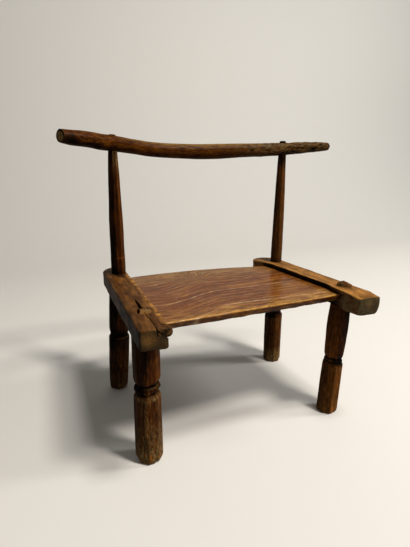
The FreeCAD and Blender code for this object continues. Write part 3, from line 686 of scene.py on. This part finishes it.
# Rear left leg and post: a plain V notch with one scribed line below it
RL_FOOT, RL_HEAD = (-211, 130), Vector((-195.5, 141))
rear_left = draw_leg(
    [(0, 34), (1.5, 36.6), (4, 38.4), (7, 39), (60, 41.4), (116.6, 43.2), (118, 43.2), (118.9, 41.8),
    (119.8, 43.2), (123, 42.6), (126.5, 39.4), (130, 35.8), (133.5, 38.4), (138, 41), (143, 42), (190, 43.4),
    (LEFT_BOTTOM, 41.6)],
    RL_FOOT, RL_HEAD, LEFT_BOTTOM, 0,
    [level(Vector((*RL_HEAD, z)), 29.2) for z in (LEFT_BOTTOM, LEFT_BOTTOM + 12, LEFT_TOP - 2)]
    + post(RL_HEAD, (-193, 147), LEFT_TOP, (15.2, 524), 553,
    [(0, 29), (0.13, 29), (0.25, 27.9), (0.33, 28.4), (0.46, 27.4), (0.62, 24.8), (0.78, 23), (1, 18)], 0), 3, 0.36)
worn_sole(rear_left, RL_FOOT, 8.0, 2.5)
rear_left_wear_and_light = leg_paint(130, LEFT_BOTTOM, 0.1, 0.2, 0.25)


def left_post_paint(place, normal):
    if place.z < LEFT_BOTTOM:
        grime_and_shade, rubbed_and_lit, grey = rear_left_wear_and_light(place, normal)
        shade = 0.5 * slide(place.z, 80, 110) * slide(place.z, 124, 121)
        lip = near((place.z,), (123.5,), (2.6,)) + 0.7 * near((place.z,), (4,), (3.5,))
        return grime_and_shade + shade - 0.25 * lip, rubbed_and_lit + 0.12 * lip, grey + 0.25 * lip
    # The post's foot is painted darker, a painted shadow of the gap round it in the rail, and its top darker
    # towards the crest
    foot = slide(place.z, 284, 268)
    # Its left-facing side is painted near black and its right-facing side a little lighter: painted shade and light
    shaded_left_side = slide(-normal.x, -0.15, 0.35) * 0.85
    top = slide(place.z, 470, 515)
    nick = near((place.z,), (302.5,), (2.2,)) * slide(-normal.y, 0.2, 0.8)
    return (0.6 * foot + shaded_left_side + 0.45 * slide(place.z, 512, 525), 0.16 * slide(normal.x, -0.1, 0.7) + 0.5 * nick,
        0.35 * top * slide(normal.x, -0.3, 0.5))


finish("rear_left_leg_cut", rear_left, leg_wood, "leg_wood", ["rear_left_leg_post"], left_post_paint)

# Rear right leg and post: a dark neck under the seat, then a lid-like shoulder
RR_FOOT, RR_HEAD = (188.5, 121), Vector((190.5, 123.5))
rear_right = draw_leg(
    [(0, 36.4), (1.5, 39), (4, 40.8), (7, 41.2), (60, 41.8), (122, 42.2), (126.5, 41.6), (129.4, 38), (130.6, 35.6),
    (135, 35.2), (139, 37.5), (146, 40), (175, 41.5), (RIGHT_BOTTOM, 40.4)],
    RR_FOOT, RR_HEAD, RIGHT_BOTTOM, 6,
    [level(Vector((*RR_HEAD, z)), 25.4, 6) for z in (RIGHT_BOTTOM, RIGHT_BOTTOM + 12, RIGHT_TOP - 2)]
    + post(RR_HEAD, (194.5, 124), RIGHT_TOP, (14.2, 519.2), 545.7,
    [(0, 25.6), (0.19, 25.4), (0.38, 24.6), (0.57, 22.6), (0.76, 20.6), (1, 17.6)], 6), 4, 0.36)
worn_sole(rear_right, RR_FOOT, 11.0, 2.0)
rear_right_wear_and_light = leg_paint(132, RIGHT_BOTTOM, 0.3, 0.25, 0.8)


def right_post_paint(place, normal):
    if place.z < RIGHT_BOTTOM:
        return rear_right_wear_and_light(place, normal)
    # The post's foot is painted darker, a painted shadow of the gap round it in the rail, and its top darker
    # towards the crest
    foot = slide(place.z, 278, 266)
    # Its left-facing side is painted darker, most of all halfway up: a painted shade
    shaded_side = slide(-normal.x, 0.3, 0.75) * (0.35 + 0.4 * near((place.z,), (430,), (90,)))
    return (0.5 * foot + shaded_side + 0.95 * slide(place.z, 478, 516), 0.14 * slide(place.z, 520, 480), 0.08)


finish("rear_right_leg_cut", rear_right, leg_wood, "leg_wood", ["rear_right_leg_post"], right_post_paint)


# Crest rail: a branch with a cut left end and a worn right end

CREST = [  # middle of the stick: x, y, z, and its thickness
    (-297.6, 115, 549.9, 24.0), (-276, 123, 547.2, 28.0), (-257, 129.5, 546, 29.8), (-237.6, 135.4, 544.4, 30.2),
    (-217.8, 141, 541.4, 30.8), (-193.2, 147, 539.2, 31), (-155, 154.6, 534.2, 30), (-111, 160.6, 528.6, 30.4),
    (-65.5, 163.8, 526, 30.8), (-19, 164, 524.8, 32.4), (4.5, 162.8, 524.6, 33.2), (51.5, 158, 526, 33),
    (98, 150, 528, 30.8), (144, 139, 529.5, 29), (189, 125.2, 531, 27.6), (232, 109, 534.1, 24.8),
    (266, 94, 536.3, 22), (291, 82.7, 537, 17.4)]
CUT_END, WORN_END = CREST[0][0], CREST[-1][0]


def crest_point(x):
    """Middle and thickness of the crest at a distance to the side, on a smooth curve."""
    x = min(WORN_END, max(CUT_END, x))
    low = max(n for n in range(len(CREST) - 1) if CREST[n][0] <= x)
    rows = [CREST[min(max(low + k, 0), len(CREST) - 1)] for k in (-1, 0, 1, 2)]
    span = rows[2][0] - rows[1][0]
    t = (x - rows[1][0]) / span
    out = [x]
    for k in (1, 2, 3):
        leave = (rows[2][k] - rows[0][k]) / (rows[2][0] - rows[0][0]) * span
        arrive = (rows[3][k] - rows[1][k]) / (rows[3][0] - rows[1][0]) * span
        out.append((2 * t ** 3 - 3 * t ** 2 + 1) * rows[1][k] + (t ** 3 - 2 * t ** 2 + t) * leave
            + (3 * t ** 2 - 2 * t ** 3) * rows[2][k] + (t ** 3 - t ** 2) * arrive)
    return Vector(out[:3]), out[3]


def crest_station(x, shrink=1.0, push=0.0):
    """A station square to the crest, pushed along it by some mm."""
    middle, thick = crest_point(x)
    ahead = (crest_point(x + 1)[0] - crest_point(x - 1)[0]).normalized()
    side = UP.cross(ahead).normalized()
    turn = Matrix((side, ahead.cross(side), ahead)).transposed().to_4x4()
    size = Matrix.Diagonal((thick / 2 * shrink, thick / 2 * shrink, thick / 2, 1))
    return Matrix.Translation(middle + ahead * push) @ turn @ size


# Shares of the thickness and mm beyond the last full station, over each end
CUT_ROUNDING = ((0.15, 0), (0.4, 0), (0.6, 0.1), (0.78, 0), (0.9, 0.3), (0.96, 0.9))
WORN_ROUNDING = ((0.96, 1.6), (0.89, 3.3), (0.79, 4.9), (0.66, 6.4), (0.5, 7.6), (0.32, 8.5), (0.14, 8.9))
stations = [crest_station(CUT_END, share, beyond) for share, beyond in CUT_ROUNDING]
stations += [crest_station(x) for x in heights(CUT_END + 2.4, WORN_END - 5, 2.5)]
stations += [crest_station(WORN_END - 5, share, beyond) for share, beyond in WORN_ROUNDING]
crest = draw_out(facet_ring(12, 1, 0.16, 0.03, 5), stations)
wear_down(crest, rough((70, 14, 14), 0.45, 11), rough((24, 7, 7), 0.3, 12), rough((150, 50, 50), 0.5, 13),
    lambda p: 1.1 * slide(p.x, 60, 200) * ripple(p, (20, 4.5, 4.5)),
    lambda p: -1.3 * near(p, (-97, 166, 517), (9, 12, 8)),
    lambda p: -1.4 * near(p, (112, 136, 537), (5, 6, 4)))

# The left end is sawn at a slant, towards the front
SAWN = Vector((-0.81, -0.585, 0.04)).normalized()
knife_cut(crest, (-301, 126, 550), SAWN)
crest.normal_update()
lattice = [((0, 120 + 2 * n, 0), (0, 1, 0)) for n in range(-7, 8)]
lattice += [((0, 0, 550 + 2 * n), UP) for n in range(-7, 8)]
for place, across in lattice:
    sawn = [f for f in crest.faces if f.normal.dot(SAWN) > 0.97 and f.calc_center_median().x < -285]
    touching = dict.fromkeys(sawn + [e for f in sawn for e in f.edges] + [v for f in sawn for v in f.verts])
    bmesh.ops.bisect_plane(crest, geom=list(touching), dist=0.01, plane_co=place, plane_no=across)


def crest_paint(place, normal):
    middle = crest_point(place.x)[0]
    # The underside is painted darker: painted shade
    shade_below = slide(-normal.z, 0.15, 0.75)
    cut_end = slide(normal.dot(SAWN), 0.8, 0.95) * slide(place.x, -280, -288)
    heart = cut_end * slide((place - middle).length, 10.5, 7.5) * (0.75 + 0.8 * noise.noise(place / 3))
    # The top is painted lighter: rubbed by hands, and a painted sheen
    handled_and_lit = slide(normal.z, 0.45, 0.95) * slide(abs(place.x - 10), 220, 90)
    dry = slide(place.x, 30, 190)
    checks = spots(place, (34, 2.8, 2.8), 0, 0.1) * 2.6 * dry
    flecks = spots(place, (13, 2.2, 2.2), 7, 0.2) * 2.0 * dry
    soot = near(place, (-277, 108, 540), (30, 20, 17)) + 0.8 * near(place, (-240, 124, 532), (46, 18, 10))
    knots = near(place, (-97, 160, 516), (10, 20, 10)) + near(place, (112, 136, 537), (7, 9, 6))
    joints = sum(near(place, spot, (18, 24, 15)) for spot in ((-193, 138, 524), (194.5, 115, 518)))
    red_tip = near(place, (284, 80, 540), (14, 14, 10))
    tip = slide(place.x, 284, 291)
    return (0.6 * shade_below * (1 - 0.1 * dry) + 1.4 * soot * (1 - cut_end) + 0.8 * knots + 0.85 * joints + checks
        + 0.12 * dry + 0.8 * (cut_end - heart) + 0.85 * tip,
        0.45 * handled_and_lit * (1 - 0.4 * dry) + 0.12 * red_tip + 0.5 * flecks + 0.6 * heart,
        0.5 * dry * (1 - red_tip) * (1 - tip) + 0.7 * heart)


finish("crest_rail_branch", crest, crest_wood, "crest_wood", ["crest_rail"], crest_paint, edge_wear_and_highlight=0.15)


# Rails: hewn from the plan, then worn

def rail(plan, bottom, top, corner, arris, smooth, seed):
    """A bar raised from its plan, its edges worn off, sliced for wearing."""
    bm = prism(plan, bottom, top)
    bmesh.ops.recalc_face_normals(bm, faces=bm.faces)
    upright = [e for e in bm.edges if abs(e.verts[0].co.z - e.verts[1].co.z) > 1]
    round_edges(bm, upright, corner, 4)
    round_edges(bm, level_edges(bm), arris, 3)
    for axis in (1, 0, 2):
        slices(bm, axis, 2.4)
    bmesh.ops.remove_doubles(bm, verts=bm.verts, dist=0.05)
    smooth_out(bm, bm.verts, smooth)
    wear_down(
        bm, rough((24, 55, 24), 1.0, seed), rough((8, 30, 8), 0.5, seed + 1), rough((3, 12, 3), 0.2, seed + 2))
    return bm


# Left rail: split from its mortise to its front end, where a lump of the corner has lifted
left_rail = rail([
    (-175, -199.6), (-225.5, -196.4), (-226, 172), (-219, 185), (-209, 195), (-197, 198), (-185, 193),
    (-177, 182)], LEFT_BOTTOM, LEFT_TOP, 6, 4.5, 3, 21)
shift(left_rail, lambda p: (
    -slide(-p.y, 150, 176) * slide(p.x, -198, -178) * (2.6 + 2.4 * slide(p.z, 262, 249)), 0, 0))
wear_down(left_rail, lambda p: -2.4 * near(p, (-226, -201, 236), (12, 10, 12)),
    lambda p: 0.9 * near((p.x, p.z), (-200, 268), (30, 5)) * slide(-p.y, 188, 197),
    lambda p: -1.2 * near((p.x, p.z), (-211, 252), (14, 13)) * slide(-p.y, 190, 199))
LUMP = Vector((-182.4, -187, 257.4))
TOE, TOE_SIZE = LUMP + Vector((0.4, 0.5, 0.5)), (9.8, 12.9, 8.6)
left_rail = carve(left_rail, [
    drill(LEFT_TENON, 26.4, 262.5, 276),
    # the split that opens behind the tenon
    prism([(-201.2, -52), (-199.6, -55), (-197.9, -77), (-197.6, -93), (-199, -101), (-203.4, -103.5), (-204, -94),
    (-203, -84), (-203, -68)], 252, 275),
    # the pit beside the tenon
    prism(PIT, 255, 275),
    # the crack from the tenon to the front end
    prism(CRACK, 256, 275),
    # and down the end, to the lifted lump
    prism([(-199.6, 268), (-198, 266), (-195.4, 263), (-191, 259.8), (-190.6, 257.4), (-192.8, 258), (-197, 261.6),
    (-199.8, 264.4)], -208, -187, axis=1),
    egg(LUMP, (11.2, 14, 9.9), 12)],
    # the lump itself, like a rounded toe
    [egg(TOE, TOE_SIZE, 12)])


def left_rail_paint(place, normal):
    outer = slide(-normal.x, 0.3, 0.8)
    # The underside is painted darker: painted shade
    shade_below = slide(-normal.z, 0.2, 0.8)
    top = slide(normal.z, 0.5, 0.95)
    # Round the post's foot the rail is painted darker: a painted shadow of the gap round the post
    foot = near(place, (-198, 128, 268), (24, 34, 18))
    split = near(place, (-203, -105, 262), (13, 50, 14)) + 0.6 * near(place, (-199, -170, 264), (6, 44, 12))
    # the walls of the cracks lie inside the skin of the bar, and are painted black: a painted shade
    ring = slide(min(LEFT_TOP - place.z, place.y + 199, -177 - place.x), 2.2, 4) * slide(-place.y, 40, 44)
    far = Vector([(p - c) / r for p, c, r in zip(place, TOE, TOE_SIZE)]).length
    toe = slide(far, 1.06, 1.0) * slide(-place.y, 186, 194)
    # The socket round the lump is painted dark: a painted shade in the crack round it
    socket = slide(far, 1.05, 1.1) * slide(far, 1.5, 1.3) * slide(-place.y, 176, 182)
    end = slide(-normal.y, 0.6, 0.9)
    bare = end * near((place.x, place.z), (-211, 252), (19, 17))
    blotch = max(0.0, noise.noise((place.x / 11, place.y / 26, 2.2))) * top
    bumps = max(0.0, 0.6 + 1.6 * noise.noise((3, place.y / 9, 1)))
    inner_edge = (near((place.x,), (-179.6,), (7.5,)) * slide(normal.z, 0.2, 0.6) * bumps
        * slide(abs(place.y + 20), 172, 150))
    rear_rim = near(place, (-222, 178, 266), (16, 22, 8))
    return (0.31 + 0.6 * shade_below + 0.35 * outer + 0.75 * foot + 0.55 * split + ring * (1 - end) - 0.3 * inner_edge
        - 0.35 * blotch - 0.2 * bare + 0.55 * socket * (1 - toe) + 0.2 * toe,
        0.1 * top + 0.75 * inner_edge + 0.3 * rear_rim + 0.3 * blotch + 0.35 * bare,
        0.35 * outer + 0.1 * end + 0.2 * rear_rim)


finish("left_rail_hewn", left_rail, rail_wood, "rail_wood", ["left_rail"], left_rail_paint)

# Right rail: its front end worn round, its rear end splayed inwards behind the seat
RIGHT_INNER = [(-187, 181.5), (-150, 185), (-123, 185.2), (-69, 179.6), (-7, 173), (46, 168.6), (96, 165),
    (121, 157.5)]  # y and x of its inner side
FRONT_ARRIS = 178.6  # x of the top arris in front
right_rail = rail([(230, -187), (208.5, 141), (199, 160), (182, 172.5), (163, 171.5), (145, 160.5), (143.3, 150)]
    + [(x, y) for y, x in reversed(RIGHT_INNER)], RIGHT_BOTTOM, RIGHT_TOP, 7, 7.5, 3, 31)
end_points = [v for v in right_rail.verts if v.co.y < -162]
smooth_out(right_rail, end_points, 12, along_y=False)
smooth_out(right_rail, end_points, 14)
# a crisp arris over the seat, the inner side at the front leaning out, the end full and round
shift(right_rail, lambda p: Vector((-0.8, 0, 0.6)) * 2.6 * slide(abs(p.y + 30), 150, 120)
    * near((p.x - between(RIGHT_INNER, p.y), p.z), (2, RIGHT_TOP - 2), (7, 7)))


def top_arris(y):
    """Where the top arris over the seat runs: in front it leans out over the board's corner."""
    inner = between(RIGHT_INNER, y)
    return inner - (inner - FRONT_ARRIS) * slide(-y, 85, 112)


def front_end(p):
    """The inner side leans out, and the end is full and round."""
    lean = max(slide(p.z, 252, 261) * slide(-p.y, 85, 112), slide(-p.y, 128, 150))
    lean *= between(RIGHT_INNER, p.y) - FRONT_ARRIS
    lean += 3 * slide(-p.y, 140, 175) * slide(p.z, 256, 236)
    bulge = 0.8 - 7.4 * min(1, max(0, (258 - p.z) / 29.5)) ** 3
    corners = 1.4 * slide(p.x, 199, 186) + 2.2 * slide(p.x, 214, 226)
    return (slide(-p.y, 120, 170) * slide(p.x, 200, 224) * bulge - slide(p.x, 200, 184) * lean, 0,
        slide(-p.y, 140, 178) * slide(p.x, 196, 178) * 3.5 * slide(p.z, 244, 230)
        - slide(-p.y, 162, 184) * slide(p.z, 248, 262) * corners)


shift(right_rail, front_end)


def right_rail_paint(place, normal):
    # The underside is painted darker: painted shade
    shade_below = slide(-normal.z, 0.2, 0.8)
    inner = slide(-normal.x, 0.25, 0.8)
    # The inner side over the seat is painted darker, and the rest of the inner side a little: painted shade where
    # seat and rail meet
    shaded_inner_side = inner * slide(place.y, -135, -118) * slide(place.y, 132, 118)
    top = slide(normal.z, 0.55, 0.95)
    end = slide(-normal.y, 0.55, 0.9)
    tail = slide(place.y, 112, 136)
    knob = near(place, (198, -112, 264), (20, 24, 10))
    # Round the post's foot the rail is painted darker: a painted shadow of the gap round the post
    foot = near(place, (190, 112, 266), (22, 24, 14))
    arris = near((place.x - top_arris(place.y),), (4,), (9,)) * top
    front = slide(-place.y, 128, 142) * (1 - top)
    # The end's front-left corner is painted darker: a painted shade
    shaded_end_corner = near((normal.x, normal.y), (-0.66, -0.72), (0.45, 0.45)) * slide(-place.y, 160, 170) * (1 - top)
    patch = near(place, (201, -186, 252), (15, 12, 11))
    blotch = 0.5 + noise.noise((place.x / 13, place.y / 34, 6.1))
    # The top is painted lighter and mottled: rubbed by hands, and a painted sheen
    return (0.6 * shade_below + 0.85 * shaded_inner_side + 0.1 * inner * (1 - top) * (1 - tail) + 0.22 * end + 0.45 * knob
        + 0.4 * foot
        + 0.5 * shaded_end_corner + 0.25 * top * (1 - blotch) - 0.2 * patch,
        top * (0.36 + 0.4 * blotch) * (1 - 0.6 * tail) + 0.3 * arris + 0.3 * tail * inner + 0.12 * patch
        + 0.08 * front * inner, 0.85 * max(end, front) + 0.5 * tail)


finish("right_rail_hewn", right_rail, rail_wood, "rail_wood", ["right_rail"], right_rail_paint)


# Seat board: one plank, dished and rubbed, its front edge worn uneven

def front_y(x):
    """Where the front edge of the seat runs."""
    return -138.5 + 0.058 * (x - 3)


def seat_plank():
    """The plank over its plan, with a bowed rear edge, rounded along the front."""
    rear = [(-178.3 + 344.5 * n / 12, 143 - 19 * n / 12 + 18 * (1 - (n / 6 - 1) ** 2)) for n in range(12)]
    plan = [(188.4, -128), (-178.3, -149)] + rear + [(166.8, 124), (171, 60), (175, 0), (182, -64)]
    bm = prism(plan, 242.3, 253.8)
    bmesh.ops.recalc_face_normals(bm, faces=bm.faces)
    round_edges(bm, [e for e in level_edges(bm) if max(v.co.y for v in e.verts) < -120], 2.4, 3)
    round_edges(bm, [e for e in level_edges(bm) if min(v.co.y for v in e.verts) > 120], 2, 2)
    for axis, step in ((0, 2.4), (1, 2.4), (2, 3)):
        slices(bm, axis, step)
    bmesh.ops.remove_doubles(bm, verts=bm.verts, dist=0.05)
    return bm


seat = seat_plank()
wear_down(seat, rough((90, 34, 60), 0.4, 41), rough((30, 6, 20), 0.2, 42),
    lambda p: -1.6 * near(p, (3, 0, 254), (150, 130, 14)),
    lambda p: slide(p.y - front_y(p.x), 5, 0.5) * (0.9 * noise.noise((p.x / 22, 3, p.z / 9))
    + 0.35 * noise.noise((p.x / 5, 9, p.z / 4))),
    lambda p: 0.7 * near(p, (139, -111, 254), (16, 9, 8)) + 0.6 * near(p, (30, -135, 252), (22, 8, 8)))
shift(seat, lambda p: (0, 0, 1.6 * slide(p.x - between(RIGHT_INNER, p.y), -40, -4)))


def seat_paint(place, normal):
    inward = place.y - front_y(place.x)
    # The underside is painted darker: painted shade
    shade_below = slide(-normal.z, 0.2, 0.8)
    top = slide(normal.z, 0.4, 0.9)
    ragged = 6 * noise.noise((place.x / 22, 5, 1))
    cloud = max(0.0, 0.4 + noise.noise((place.x / 30, place.y / 9, 4)))
    arris = near((inward, place.z), (1.5, 253.6), (4, 2.6))
    band = 0.8 * arris + top * (
        0.3 * near((inward,), (7 + ragged,), (6,)) + 0.5 * cloud * slide(inward, 60, 10))
    marks = max(0.0, noise.noise((place.x / 7, place.y / 3, 8)) - 0.1) * slide(inward, 26, 8) * top
    scuff = max(0.0, noise.noise((place.x / 14, 7, place.z / 3)))
    face = slide(-normal.y, 0.4, 0.9) * slide(place.z, 253, 250.5)
    # Along both rails the plank is painted darker: a painted shade where the rails meet it
    shade_by_rail = max(slide(place.x, -168, -177), slide(place.x - between(RIGHT_INNER, place.y), -6, 0))
    knots = near(place, (-160, -95, 253), (10, 4, 6)) + 0.6 * near(place, (161, -62, 253), (14, 8, 6))
    bleached = slide(place.x, 20, 120) * slide(place.y, 40, -40) * top
    return (0.65 * shade_below + face * (0.8 - 0.5 * scuff) + 0.5 * shade_by_rail + 0.6 * knots + 1.1 * marks,
        band * (1 - face) + 0.3 * face * scuff + 0.08 * bleached, 0.35 * slide(place.y, 30, 140))


finish("seat_board_plank", seat, seat_wood, "seat_wood", ["seat_board"], seat_paint, edge_wear_and_highlight=0.25)


# Wedges driven across the front tenons

def wedge(name, middle, size, turn, seed, node):
    """A thin wedge, narrow at its lower edge, standing a little proud of the tenon."""
    bm = bmesh.new()
    bmesh.ops.create_cube(bm, size=1.0)
    bmesh.ops.scale(bm, vec=size, verts=bm.verts)
    bmesh.ops.scale(bm, vec=(1, 0.3, 1), verts=[v for v in bm.verts if v.co.z < 0])
    round_edges(bm, bm.edges[:], 0.35, 2)
    for axis in (0, 2):
        slices(bm, axis, 1.5)
    bmesh.ops.rotate(bm, verts=bm.verts, matrix=Matrix.Rotation(math.radians(turn), 3, "Z"))
    bmesh.ops.translate(bm, vec=middle, verts=bm.verts)
    wear_down(bm, rough((5, 5, 9), 0.35, seed))
    finish(name, bm, wedge_wood, "wedge_wood", [node], lambda place, normal: (
        0.1 + 0.8 * slide(place.x, middle[0], middle[0] - 2), 0.35 * slide(normal.z, 0.4, 0.9), 0.2))


wedge("front_left_wedge_split", (-194.4, -116.2, LEFT_TOP - 11.2), (12, 1.9, 24), 21, 51, "front_left_wedge")
wedge("front_right_wedge_split", (205, -112, RIGHT_TOP - 5.2), (18, 2.8, 24), 6, 52, "front_right_wedge")


# Floor, backdrop, light and camera

def plain(name, hex_value, roughness):
    """A flat painted finish."""
    material = bpy.data.materials.new(name)
    material.use_nodes = True
    shader = material.node_tree.nodes["Principled BSDF"]
    shader.inputs["Base Color"].default_value = colour(hex_value)
    shader.inputs["Roughness"].default_value = roughness
    return material


def studio_floor():
    """A pale floor that turns up behind the chair into a backdrop."""
    bm = bmesh.new()
    bmesh.ops.create_grid(bm, x_segments=1, y_segments=1, size=4)
    bmesh.ops.translate(bm, vec=(0, -1.5, 0), verts=bm.verts)
    back = [e for e in bm.edges if min(v.co.y for v in e.verts) > 2]
    up = bmesh.ops.extrude_edge_only(bm, edges=back)["geom"]
    bmesh.ops.translate(bm, vec=(0, 0, 5), verts=parts(up, bmesh.types.BMVert))
    corner = [e for e in bm.edges if len(e.link_faces) == 2]
    round_edges(bm, corner, 1.2, 16)
    for face in bm.faces:
        face.smooth = True
    floor = stand("floor", kept_mesh("floor", bm))
    floor.data.materials.append(plain("painted_floor", "#d2d0cb", 0.8))


def lamp(name, place, aim, size, watts, tint):
    """A round soft lamp aimed at a point."""
    data = bpy.data.lights.new(name, "AREA")
    data.shape = "DISK"
    data.size = size
    data.energy = watts
    data.color = colour(tint)[:3]
    lamp_object = stand(name, data)
    lamp_object.location = place
    lamp_object.rotation_euler = (Vector(aim) - Vector(place)).to_track_quat("-Z", "Y").to_euler()


studio_floor()
lamp("key", (0.85, -1.15, 2.4), (0, 0, 0.25), 0.45, 48, "#fff8f0")
lamp("second", (0.45, -0.6, 2.5), (0, 0, 0.25), 0.4, 28, "#fff9f2")
lamp("wall_wash", (2.6, -0.6, 2.2), (1.6, 2.4, 0.9), 1.0, 64, "#fffdf9")

world = bpy.data.worlds.new("studio")
world.use_nodes = True
world.node_tree.nodes["Background"].inputs["Color"].default_value = colour("#eceae6")
world.node_tree.nodes["Background"].inputs["Strength"].default_value = 0.18
bpy.context.scene.world = world
bpy.context.scene.view_settings.view_transform = "Standard"

SENSOR, FRAME_HEIGHT, LENS_PIXELS = 36, 547, 410  # mm, and pixels of the photo's frame
TILT, TURN = 15.07, 21.3  # degrees down and to the right
camera_data = bpy.data.cameras.new("camera")
camera_data.sensor_width = SENSOR
camera_data.lens = LENS_PIXELS / FRAME_HEIGHT * SENSOR
camera = stand("camera", camera_data)
camera.location = (-0.335, -0.7385, 0.5)
camera.rotation_euler = (math.radians(90 - TILT), 0, math.radians(-TURN))
bpy.context.scene.camera = camera
